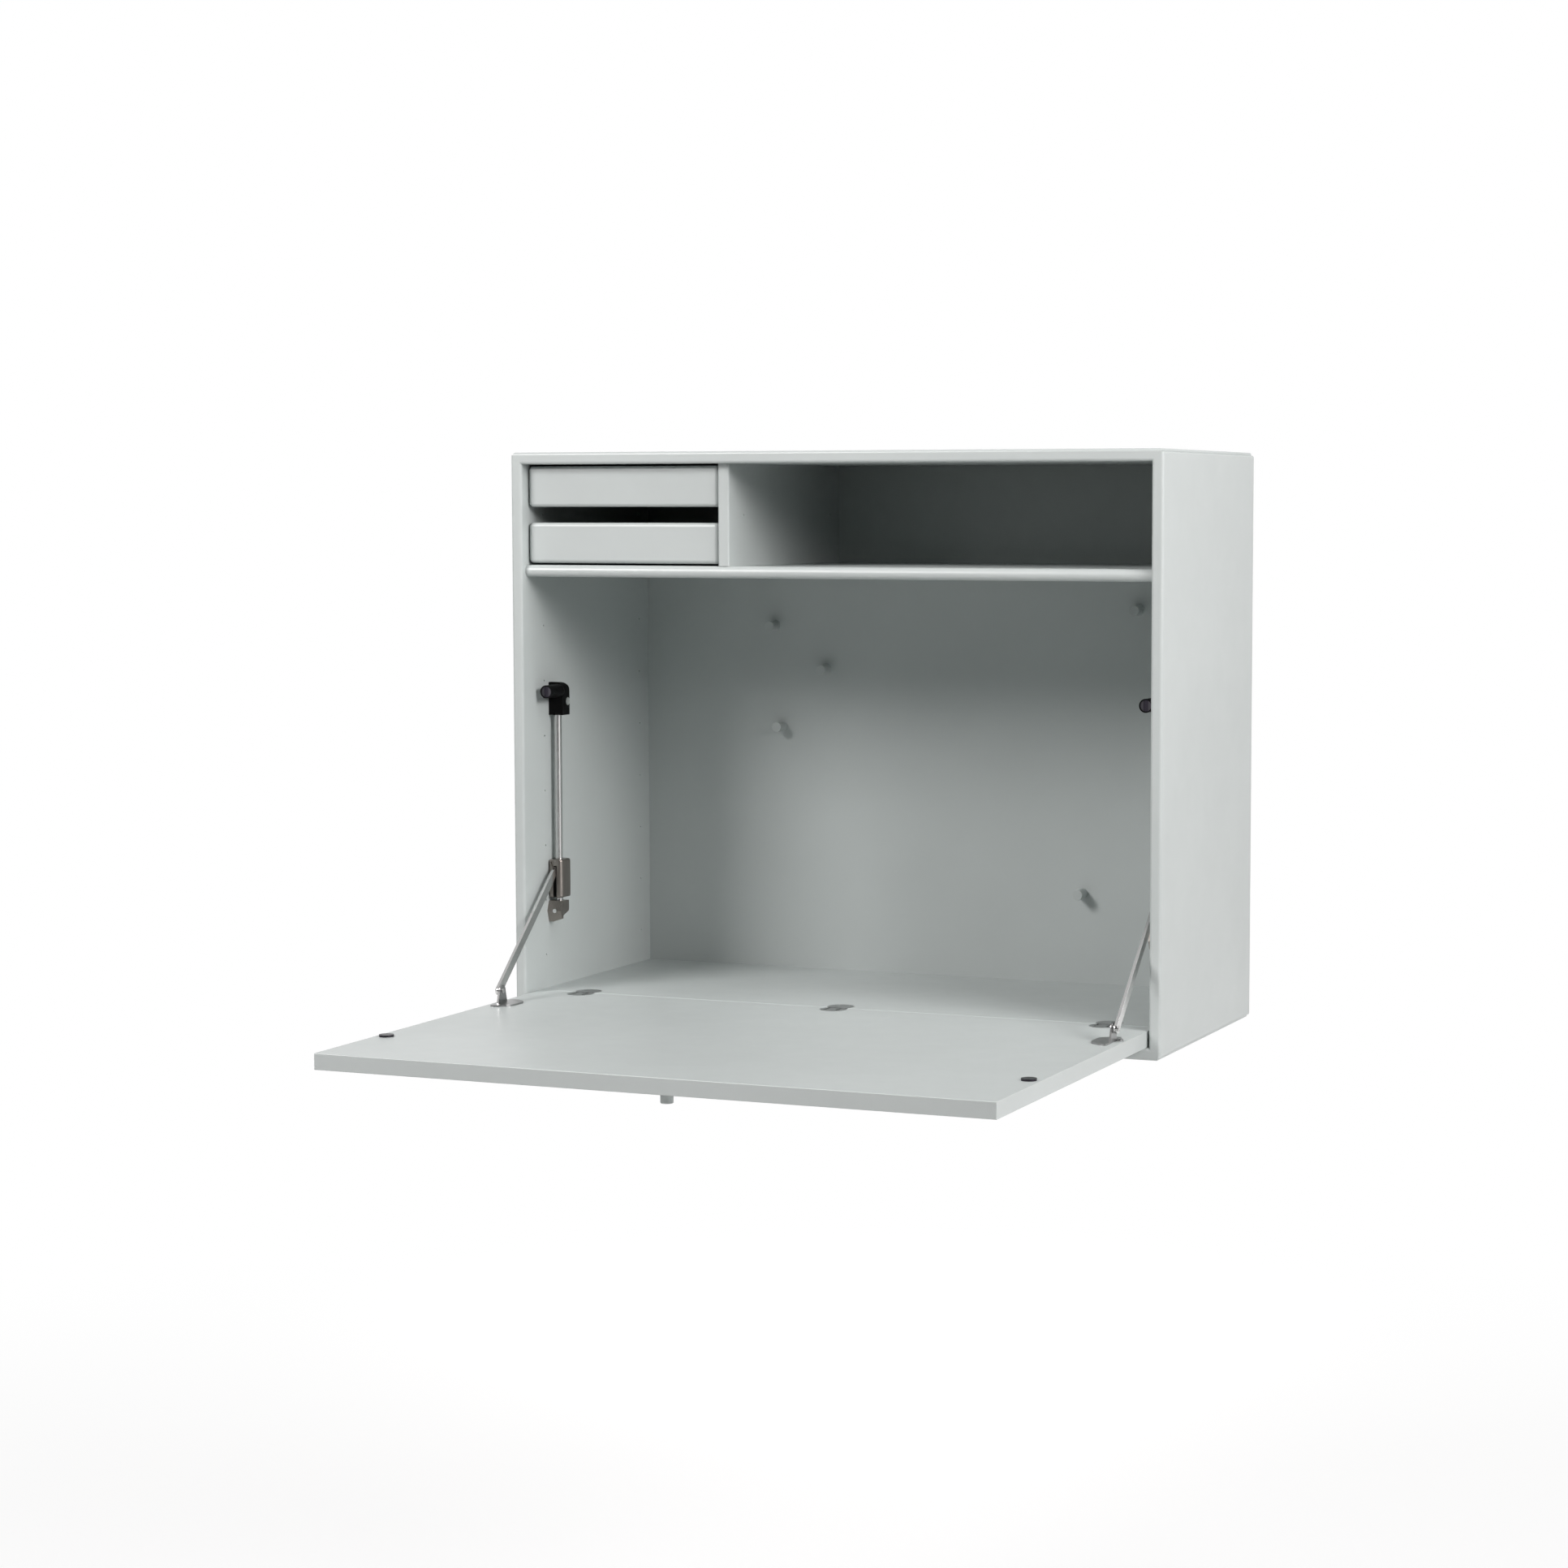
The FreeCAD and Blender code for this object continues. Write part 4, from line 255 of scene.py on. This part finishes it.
def spread(tree, source, low, high):
    """Turn a noise of 0 to 1 into a value from low to high."""
    ranged = tree.nodes.new("ShaderNodeMapRange")
    ranged.inputs["From Min"].default_value = VALUE_SPAN[0]
    ranged.inputs["From Max"].default_value = VALUE_SPAN[1]
    ranged.inputs["To Min"].default_value = low
    ranged.inputs["To Max"].default_value = high
    tree.links.new(source, ranged.inputs["Value"])
    return ranged.outputs["Result"]


def tint(tree, source, dark, light):
    """A colour between dark and light, by a noise."""
    ramp = tree.nodes.new("ShaderNodeValToRGB")
    ramp.color_ramp.elements[0].position = TONE_SPAN[0]
    ramp.color_ramp.elements[1].position = TONE_SPAN[1]
    ramp.color_ramp.elements[0].color = (*dark, 1)
    ramp.color_ramp.elements[1].color = (*light, 1)
    tree.links.new(source, ramp.inputs["Fac"])
    return ramp.outputs["Color"]


def bump(tree, shader, source, depth):
    """Raise the surface by up to depth metres where the noise is high."""
    raised = tree.nodes.new("ShaderNodeBump")
    raised.inputs["Strength"].default_value = 1.0
    raised.inputs["Distance"].default_value = depth
    tree.links.new(source, raised.inputs["Height"])
    tree.links.new(raised.outputs["Normal"], shader.inputs["Normal"])


def stripe(tree, middle, half_width):
    """1 within half_width of the places at middle to the left and right, and 0 elsewhere."""
    place = tree.nodes.new("ShaderNodeTexCoord")
    split = tree.nodes.new("ShaderNodeSeparateXYZ")
    tree.links.new(place.outputs["Object"], split.inputs["Vector"])
    value = split.outputs["X"]
    for operation, amount in (("ABSOLUTE", 0), ("SUBTRACT", middle), ("ABSOLUTE", 0),
                              ("LESS_THAN", half_width)):
        step = tree.nodes.new("ShaderNodeMath")
        step.operation = operation
        step.inputs[1].default_value = amount
        tree.links.new(value, step.inputs[0])
        value = step.outputs["Value"]
    return value


def painted(tree, shader, mask, colour):
    """Give the shader another colour where the mask is 1."""
    base = shader.inputs["Base Color"]
    before = base.links[0].from_socket
    mix = tree.nodes.new("ShaderNodeMix")
    mix.data_type = "RGBA"
    # The node has sockets for every kind of data: inputs 6 and 7 and output 2 hold colours.
    factor, first, second = mix.inputs[0], mix.inputs[6], mix.inputs[7]
    second.default_value = (*colour, 1)
    tree.links.new(mask, factor)
    tree.links.new(before, first)
    tree.links.new(mix.outputs[2], base)


def shade(colour, factor):
    """The colour made darker or lighter by the factor."""
    return [min(1.0, part * factor) for part in colour]


def lacquer(name, colour, settings):
    """Sprayed satin lacquer: a slow drift of tone, fine dimples and uneven gloss."""
    material, tree, shader = new_material(name)
    drift = noise(tree, TONE_PATCH, detail=4)
    tone = tint(tree, drift, shade(colour, 1 - settings.mottle), shade(colour, 1 + settings.mottle))
    tree.links.new(tone, shader.inputs["Base Color"])
    gloss = noise(tree, GLOSS_PATCH, detail=3)
    rough = spread(tree, gloss, settings.roughness - LACQUER_VARIES,
                   settings.roughness + LACQUER_VARIES)
    tree.links.new(rough, shader.inputs["Roughness"])
    bump(tree, shader, noise(tree, settings.peel_size, detail=1), settings.peel_depth)
    shader.inputs["IOR"].default_value = LACQUER_IOR
    return material


def drawn_metal(name, colour, contrast, roughness, stretch=(1, 1, 1), line=0.0006,
                depth=0.000003, lean=0.0):
    """Metal with fine lines along its length, whose tone varies by contrast to both sides."""
    material, tree, shader = new_material(name)
    lines = noise(tree, line, detail=3, stretch=stretch, lean=lean)
    tree.links.new(tint(tree, lines, shade(colour, 1 - contrast), shade(colour, 1 + contrast)),
                   shader.inputs["Base Color"])
    tree.links.new(spread(tree, lines, roughness - METAL_VARIES, roughness + METAL_VARIES),
                   shader.inputs["Roughness"])
    bump(tree, shader, lines, depth)
    shader.inputs["Metallic"].default_value = 1.0
    return material


def stay_steel(name, settings):
    """The dark steel of sliders, slider pins and feet, drawn upwards."""
    return drawn_metal(name, settings.dark_steel, contrast=0.1, roughness=0.34,
                       stretch=(1, 1, 50))


def plastic(name, colour, roughness, gloss):
    """Moulded plastic with a fine sparked grain."""
    material, tree, shader = new_material(name)
    shader.inputs["Specular IOR Level"].default_value = gloss
    grain = noise(tree, PLASTIC_GRAIN, detail=2)
    tree.links.new(tint(tree, grain, dark=shade(colour, 0.8), light=shade(colour, 1.3)),
                   shader.inputs["Base Color"])
    tree.links.new(spread(tree, grain, low=roughness - 0.06, high=roughness + 0.08),
                   shader.inputs["Roughness"])
    bump(tree, shader, grain, PLASTIC_DEPTH)
    return material


def beech(name):
    """Plain beech with short flecks along the board."""
    material, tree, shader = new_material(name)
    fibre = noise(tree, BEECH_FLECK, detail=5, stretch=(1, 14, 1))
    tree.links.new(tint(tree, fibre, BEECH_DARK, BEECH_LIGHT), shader.inputs["Base Color"])
    tree.links.new(spread(tree, fibre, low=0.5, high=0.65), shader.inputs["Roughness"])
    bump(tree, shader, fibre, BEECH_DEPTH)
    return material


def dress(names, material):
    """Give CAD nodes a material."""
    for name in names:
        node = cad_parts[name]
        node.data.materials.clear()
        node.data.materials.append(material)


def soften(names, width):
    """A narrow bevel on the sharp edges of CAD nodes, so that they catch the light."""
    for name in names:
        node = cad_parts[name]
        weld = node.modifiers.new("join", "WELD")
        weld.merge_threshold = JOIN_REACH
        bevel = node.modifiers.new("edge", "BEVEL")
        bevel.width = width
        bevel.segments = SOFT_STEPS
        bevel.limit_method = "ANGLE"
        bevel.angle_limit = math.radians(SHARP_ANGLE)
        bevel.harden_normals = False


# The pieces.

class DESK_OT_boards(Operator):
    """Lacquer the cabinet's boards"""
    bl_idname = "desk.boards"
    bl_label = "Boards"

    def execute(self, context):
        settings = context.scene.desk_lacquer
        dress(CABINET_BOARDS, lacquer("board_lacquer", settings.colour, settings))
        return {"FINISHED"}


class DESK_OT_steel_back(Operator):
    """Lacquer the steel sheet behind the large bay"""
    bl_idname = "desk.steel_back"
    bl_label = "Steel back"

    def execute(self, context):
        settings = context.scene.desk_lacquer
        dress(["steel_back_sheet"],
              lacquer("sheet_lacquer", shade(settings.colour, SHEET_SHADE), settings))
        return {"FINISHED"}


class DESK_OT_flap(Operator):
    """Lacquer the fold-down front and its knob"""
    bl_idname = "desk.flap"
    bl_label = "Fold-down front"

    def execute(self, context):
        settings = context.scene.desk_lacquer
        dress(["flap_panel", "flap_knob"], lacquer("flap_lacquer", settings.colour, settings))
        return {"FINISHED"}


class DESK_OT_drawers(Operator):
    """Lacquer the drawers"""
    bl_idname = "desk.drawers"
    bl_label = "Drawers"

    def execute(self, context):
        settings = context.scene.desk_lacquer
        dress(DRAWERS, lacquer("drawer_lacquer", settings.colour, settings))
        return {"FINISHED"}


class DESK_OT_pegs(Operator):
    """Lacquer the magnetic pegs"""
    bl_idname = "desk.pegs"
    bl_label = "Pegs"

    def execute(self, context):
        settings = context.scene.desk_lacquer
        dress(PEGS, lacquer("peg_lacquer", shade(settings.colour, PEG_SHADE), settings))
        return {"FINISHED"}


class DESK_OT_stays(Operator):
    """Finish the stays and the magnetic catches"""
    bl_idname = "desk.stays"
    bl_label = "Stays"

    def execute(self, context):
        settings = context.scene.desk_metal
        dress(["stay_rod_left", "stay_rod_right"],
              drawn_metal("rod_chrome", shade(settings.chrome, ROD_SHADE), contrast=0.03,
                          roughness=0.26, stretch=(1, 1, 60)))
        dress(["stay_arm_left", "stay_arm_right"],
              drawn_metal("arm_chrome", settings.chrome, contrast=0.025, roughness=0.17,
                          stretch=(1, 60, 1), lean=ARM_LEAN))
        dress(["stay_bracket_left", "stay_bracket_right", "bracket_screws"],
              drawn_metal("bracket_steel", settings.bracket_steel, contrast=0.04,
                          roughness=0.3, line=0.0015))
        dress(["bracket_rivets"],
              drawn_metal("rivet_chrome", settings.chrome, contrast=0.03, roughness=0.3,
                          line=0.0015))
        dress(["stay_screws"],
              drawn_metal("screw_chrome", shade(settings.chrome, STAY_SCREW_SHADE),
                          contrast=0.08, roughness=0.36, line=0.0012))
        dress(["stay_foot_left", "stay_foot_right", "slider_pin_left", "slider_pin_right"],
              stay_steel("foot_steel", settings))
        slider = stay_steel("slider_steel", settings)
        tree = slider.node_tree
        # Painted shade: the inside of the slot is coloured near black, standing for the shade deep
        # in the slot.
        painted(tree, tree.nodes["Principled BSDF"], stripe(tree, STAY_X, SLOT_SHADE_HALF),
                SLOT_PAINTED_SHADE)
        dress(["stay_slider_left", "stay_slider_right"], slider)
        black = plastic("head_plastic", HEAD_BLACK, roughness=0.5, gloss=0.1)
        dress(["stay_head_left", "stay_head_right", "slider_bush_left", "slider_bush_right"], black)
        magnet = drawn_metal("magnet_steel", MAGNET_GREY, contrast=0.12, roughness=0.35)
        tree = magnet.node_tree
        painted(tree, tree.nodes["Principled BSDF"], stripe(tree, CATCH_X, MAGNET_BAND_HALF),
                MAGNET_BAND)
        dress(["catch_magnet_left", "catch_magnet_right"], magnet)
        dress(["catch_plates"],
              drawn_metal("plate_steel", PLATE_GREY, contrast=0.12, roughness=0.3))
        soften(["stay_arm_left", "stay_arm_right", "stay_bracket_left", "stay_bracket_right",
                "stay_slider_left", "stay_slider_right", "stay_foot_left", "stay_foot_right"],
               settings.edge)
        return {"FINISHED"}


def slider_cap(side, rounding, material):
    """Close a slider's slot over the arm's tip: flush above the notch, set back inside it."""
    low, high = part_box(f"stay_slider_{side}")
    front, top = low[1], high[2]
    back = front + CAP_DEPTH
    outline = [(front + NOTCH_DEPTH, top - CAP_HEIGHT), (front + NOTCH_DEPTH, top - NOTCH_DROP),
               (front, top - NOTCH_DROP)]
    for step in range(CAP_FLATS + 1):
        turn = math.radians(90 * step / CAP_FLATS)
        outline.append((front + rounding * (1 - math.cos(turn)),
                        top - rounding * (1 - math.sin(turn))))
    outline += [(back, top), (back, top - CAP_HEIGHT)]
    middle = -STAY_X if side == "left" else STAY_X
    build = bmesh.new()
    rims = [[build.verts.new((middle + turn * SLOT_HALF, y, z)) for y, z in outline]
            for turn in (-1, 1)]
    count = len(outline)
    for rim in rims:
        build.faces.new(rim)
    for corner in range(count):
        after = (corner + 1) % count
        build.faces.new((rims[0][corner], rims[0][after], rims[1][after], rims[1][corner]))
    bmesh.ops.recalc_face_normals(build, faces=build.faces)
    mesh = bpy.data.meshes.new(f"slider_cap_{side}")
    build.to_mesh(mesh)
    build.free()
    mesh.materials.append(material)
    cap = bpy.data.objects.new(f"slider_cap_{side}", mesh)
    bpy.context.scene.collection.objects.link(cap)
    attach(cap, f"slider_{side}")


class DESK_OT_slider_caps(Operator):
    """Close the sliders' slots over the arms' tips"""
    bl_idname = "desk.slider_caps"
    bl_label = "Slider caps"

    def execute(self, context):
        settings = context.scene.desk_metal
        steel = stay_steel("cap_steel", settings)
        for side in ("left", "right"):
            slider_cap(side, settings.cap_round, steel)
        return {"FINISHED"}


class DESK_OT_hinges(Operator):
    """Finish the three flush hinges"""
    bl_idname = "desk.hinges"
    bl_label = "Hinges"

    def execute(self, context):
        settings = context.scene.desk_metal
        steel = drawn_metal("hinge_steel", settings.hinge_steel, contrast=0.08, roughness=0.3,
                            stretch=(20, 1, 1))
        dress(["hinge_cabinet_leaves", "hinge_flap_leaves", "hinge_pins"], steel)
        dress(["hinge_cabinet_screws", "hinge_flap_screws"],
              drawn_metal("screw_steel", HINGE_SCREW_GREY, contrast=0.1, roughness=0.25))
        return {"FINISHED"}


class DESK_OT_wall_fixing(Operator):
    """Finish the zinc pieces: wall rail, hooks, their screws, runner screws and knob stud"""
    bl_idname = "desk.wall_fixing"
    bl_label = "Wall fixing"

    def execute(self, context):
        zinc = drawn_metal("zinc", ZINC_GREY, contrast=0.18, roughness=0.38, line=0.004,
                           depth=0.00001)
        dress(["wall_rail", "hanging_hooks", "hook_screws", "runner_screws", "knob_stud"], zinc)
        return {"FINISHED"}


class DESK_OT_joinery(Operator):
    """Finish the wooden runners, dowels and tongues"""
    bl_idname = "desk.joinery"
    bl_label = "Joinery"

    def execute(self, context):
        dress(["tray_runners", "shelf_dowels", "divider_dowels", "mitre_splines"], beech("beech"))
        return {"FINISHED"}


def square_lamp(name, place, watts, colour=(1, 1, 1)):
    """A square lamp turned to the desk; place holds degrees to the right of its front, and up."""
    settings = bpy.context.scene.desk_stage
    turn, rise = [math.radians(angle) for angle in place]
    direction = Vector((math.sin(turn) * math.cos(rise), -math.cos(turn) * math.cos(rise),
                        math.sin(rise)))
    lamp = bpy.data.lights.new(name, "AREA")
    lamp.shape = "SQUARE"
    lamp.size = settings.lamp_size
    lamp.energy = watts
    lamp.color = colour
    holder = bpy.data.objects.new(name, lamp)
    holder.location = LAMP_TARGET + direction * settings.lamp_reach
    holder.rotation_euler = direction.to_track_quat("Z", "Y").to_euler()
    holder.visible_camera = False
    bpy.context.scene.collection.objects.link(holder)


def soft_boxes(tree, split):
    """Tall soft bands of light round the horizon, as a strength of 0 to 1 by direction."""
    forward = tree.nodes.new("ShaderNodeMath")
    forward.operation = "MULTIPLY"
    forward.inputs[1].default_value = -1
    tree.links.new(split.outputs["Y"], forward.inputs[0])
    azimuth = tree.nodes.new("ShaderNodeMath")
    azimuth.operation = "ARCTAN2"
    tree.links.new(split.outputs["X"], azimuth.inputs[0])
    tree.links.new(forward.outputs["Value"], azimuth.inputs[1])
    height = tree.nodes.new("ShaderNodeMapRange")
    height.interpolation_type = "SMOOTHSTEP"
    height.inputs["From Min"].default_value = SOFT_BOX_GONE
    height.inputs["From Max"].default_value = SOFT_BOX_FADES
    tree.links.new(split.outputs["Z"], height.inputs["Value"])
    total = None
    for middle, half in SOFT_BOXES:
        offset = tree.nodes.new("ShaderNodeMath")
        offset.operation = "SUBTRACT"
        offset.inputs[1].default_value = math.radians(middle)
        tree.links.new(azimuth.outputs["Value"], offset.inputs[0])
        away = tree.nodes.new("ShaderNodeMath")
        away.operation = "ABSOLUTE"
        tree.links.new(offset.outputs["Value"], away.inputs[0])
        band = tree.nodes.new("ShaderNodeMapRange")
        band.interpolation_type = "SMOOTHSTEP"
        band.inputs["From Min"].default_value = math.radians(half + SOFT_BOX_BLUR)
        band.inputs["From Max"].default_value = math.radians(half - SOFT_BOX_BLUR)
        tree.links.new(away.outputs["Value"], band.inputs["Value"])
        lit = tree.nodes.new("ShaderNodeMath")
        lit.operation = "MULTIPLY"
        tree.links.new(band.outputs["Result"], lit.inputs[0])
        tree.links.new(height.outputs["Result"], lit.inputs[1])
        if total is not None:
            both = tree.nodes.new("ShaderNodeMath")
            both.operation = "MAXIMUM"
            tree.links.new(total, both.inputs[0])
            tree.links.new(lit.outputs["Value"], both.inputs[1])
            lit = both
        total = lit.outputs["Value"]
    return total


def studio_world(ambient):
    """White to the camera; reflections see a white backdrop, soft boxes and a dim room."""
    world = bpy.data.worlds.new("studio")
    world.use_nodes = True
    tree = world.node_tree
    tree.nodes.clear()
    place = tree.nodes.new("ShaderNodeTexCoord")
    split = tree.nodes.new("ShaderNodeSeparateXYZ")
    backdrop = tree.nodes.new("ShaderNodeMapRange")
    backdrop.interpolation_type = "SMOOTHSTEP"
    backdrop.inputs["From Min"].default_value = ROOM_ENDS
    backdrop.inputs["From Max"].default_value = BACKDROP_FULL
    backdrop.inputs["To Min"].default_value = ROOM_LEVEL
    path = tree.nodes.new("ShaderNodeLightPath")
    mirrored = tree.nodes.new("ShaderNodeMath")
    mirrored.operation = "MAXIMUM"
    room = tree.nodes.new("ShaderNodeBackground")
    light = tree.nodes.new("ShaderNodeBackground")
    light.inputs["Strength"].default_value = ambient
    white = tree.nodes.new("ShaderNodeBackground")
    white.inputs["Color"].default_value = (1, 1, 1, 1)
    reflected = tree.nodes.new("ShaderNodeMixShader")
    seen = tree.nodes.new("ShaderNodeMixShader")
    output = tree.nodes.new("ShaderNodeOutputWorld")
    tree.links.new(place.outputs["Generated"], split.inputs["Vector"])
    tree.links.new(split.outputs["Y"], backdrop.inputs["Value"])
    brightest = tree.nodes.new("ShaderNodeMath")
    brightest.operation = "MAXIMUM"
    tree.links.new(backdrop.outputs["Result"], brightest.inputs[0])
    tree.links.new(soft_boxes(tree, split), brightest.inputs[1])
    tree.links.new(brightest.outputs["Value"], room.inputs["Strength"])
    tree.links.new(path.outputs["Is Glossy Ray"], mirrored.inputs[0])
    tree.links.new(path.outputs["Is Transmission Ray"], mirrored.inputs[1])
    tree.links.new(mirrored.outputs["Value"], reflected.inputs["Fac"])
    tree.links.new(light.outputs["Background"], reflected.inputs[1])
    tree.links.new(room.outputs["Background"], reflected.inputs[2])
    tree.links.new(path.outputs["Is Camera Ray"], seen.inputs["Fac"])
    tree.links.new(reflected.outputs["Shader"], seen.inputs[1])
    tree.links.new(white.outputs["Background"], seen.inputs[2])
    tree.links.new(seen.outputs["Shader"], output.inputs["Surface"])
    bpy.context.scene.world = world


def pale_floor(drop):
    """A round pale floor that runs into the white surroundings."""
    mesh = bpy.data.meshes.new("floor")
    build = bmesh.new()
    bmesh.ops.create_circle(build, cap_ends=True, segments=FLOOR_SIDES, radius=FLOOR_RADIUS)
    build.to_mesh(mesh)
    build.free()
    floor = bpy.data.objects.new("floor", mesh)
    floor.location = (0, FLOOR_Y, -drop)
    bpy.context.scene.collection.objects.link(floor)
    material = bpy.data.materials.new("floor")
    material.use_nodes = True
    tree = material.node_tree
    tree.nodes.clear()
    place = tree.nodes.new("ShaderNodeTexCoord")
    far = tree.nodes.new("ShaderNodeVectorMath")
    far.operation = "LENGTH"
    edge = tree.nodes.new("ShaderNodeMapRange")
    edge.interpolation_type = "SMOOTHSTEP"
    edge.inputs["From Min"].default_value = FLOOR_FADES
    edge.inputs["From Max"].default_value = FLOOR_WHITE
    path = tree.nodes.new("ShaderNodeLightPath")
    seen = tree.nodes.new("ShaderNodeMath")
    seen.operation = "MAXIMUM"
    matt = tree.nodes.new("ShaderNodeBsdfDiffuse")
    matt.inputs["Color"].default_value = (FLOOR_GREY, FLOOR_GREY, FLOOR_GREY, 1)
    shadowed = tree.nodes.new("ShaderNodeBsdfDiffuse")
    shadowed.inputs["Color"].default_value = (SHADOW_GREY, SHADOW_GREY, SHADOW_GREY, 1)
    glow = tree.nodes.new("ShaderNodeEmission")
    glow.inputs["Strength"].default_value = FLOOR_GLOW
    lifted = tree.nodes.new("ShaderNodeAddShader")
    white = tree.nodes.new("ShaderNodeEmission")
    faded = tree.nodes.new("ShaderNodeMixShader")
    shown = tree.nodes.new("ShaderNodeMixShader")
    output = tree.nodes.new("ShaderNodeOutputMaterial")
    tree.links.new(place.outputs["Object"], far.inputs[0])
    tree.links.new(far.outputs["Value"], edge.inputs["Value"])
    tree.links.new(shadowed.outputs[0], lifted.inputs[0])
    tree.links.new(glow.outputs[0], lifted.inputs[1])
    tree.links.new(edge.outputs["Result"], faded.inputs["Fac"])
    tree.links.new(lifted.outputs[0], faded.inputs[1])
    tree.links.new(white.outputs[0], faded.inputs[2])
    tree.links.new(path.outputs["Is Camera Ray"], seen.inputs[0])
    tree.links.new(path.outputs["Is Glossy Ray"], seen.inputs[1])
    tree.links.new(seen.outputs[0], shown.inputs["Fac"])
    tree.links.new(matt.outputs[0], shown.inputs[1])
    tree.links.new(faded.outputs[0], shown.inputs[2])
    tree.links.new(shown.outputs[0], output.inputs["Surface"])
    mesh.materials.append(material)


class DESK_OT_stage(Operator):
    """Set up the floor, the lamps and the camera"""
    bl_idname = "desk.stage"
    bl_label = "Stage"

    def execute(self, context):
        scene = context.scene
        settings = scene.desk_stage
        scene.view_settings.view_transform = "Standard"
        studio_world(settings.ambient)
        pale_floor(settings.floor_drop)
        square_lamp("left_lamp", LEFT_LAMP, settings.left_watts, settings.lamp_colour)
        square_lamp("right_lamp", RIGHT_LAMP, settings.right_watts, settings.lamp_colour)
        square_lamp("side_lamp", SIDE_LAMP, settings.side_watts, settings.lamp_colour)
        square_lamp("top_lamp", TOP_LAMP, settings.top_watts)
        square_lamp("back_lamp", BACK_LAMP, settings.back_watts, settings.lamp_colour)
        camera = bpy.data.cameras.new("camera")
        camera.sensor_width = SENSOR_WIDTH
        camera.lens = settings.lens
        camera.shift_x = CAMERA_SHIFT_X
        camera.shift_y = CAMERA_SHIFT_Y
        holder = bpy.data.objects.new("camera", camera)
        holder.location = CAMERA_PLACE
        holder.rotation_euler = Euler((math.pi / 2 - CAMERA_DIP, 0, CAMERA_TURN))
        scene.collection.objects.link(holder)
        scene.camera = holder
        return {"FINISHED"}


STEPS = (DESK_OT_boards, DESK_OT_steel_back, DESK_OT_flap, DESK_OT_drawers, DESK_OT_pegs,
         DESK_OT_stays, DESK_OT_slider_caps, DESK_OT_hinges, DESK_OT_wall_fixing,
         DESK_OT_joinery, DESK_OT_stage)
GROUPS = (LacquerSettings, MetalSettings, StageSettings)


class DESK_PT_sidebar(Panel):
    """Sizes, colours and steps of the wall desk"""
    bl_label = "Wall desk"
    bl_idname = "DESK_PT_sidebar"
    bl_space_type = "VIEW_3D"
    bl_region_type = "UI"
    bl_category = "Wall desk"

    def draw(self, context):
        for holder in ("desk_lacquer", "desk_metal", "desk_stage"):
            box = self.layout.box()
            group = getattr(context.scene, holder)
            for name in group.__annotations__:
                box.prop(group, name)
        for step in STEPS:
            self.layout.operator(step.bl_idname)


def register():
    for kind in (*GROUPS, *STEPS, DESK_PT_sidebar):
        bpy.utils.register_class(kind)
    bpy.types.Scene.desk_lacquer = PointerProperty(type=LacquerSettings)
    bpy.types.Scene.desk_metal = PointerProperty(type=MetalSettings)
    bpy.types.Scene.desk_stage = PointerProperty(type=StageSettings)


def unregister():
    del bpy.types.Scene.desk_stage
    del bpy.types.Scene.desk_metal
    del bpy.types.Scene.desk_lacquer
    for kind in reversed((*GROUPS, *STEPS, DESK_PT_sidebar)):
        bpy.utils.unregister_class(kind)


def main():
    register()
    for step in STEPS:
        group, action = step.bl_idname.split(".")
        getattr(getattr(bpy.ops, group), action)()


if __name__ == "__main__":
    main()
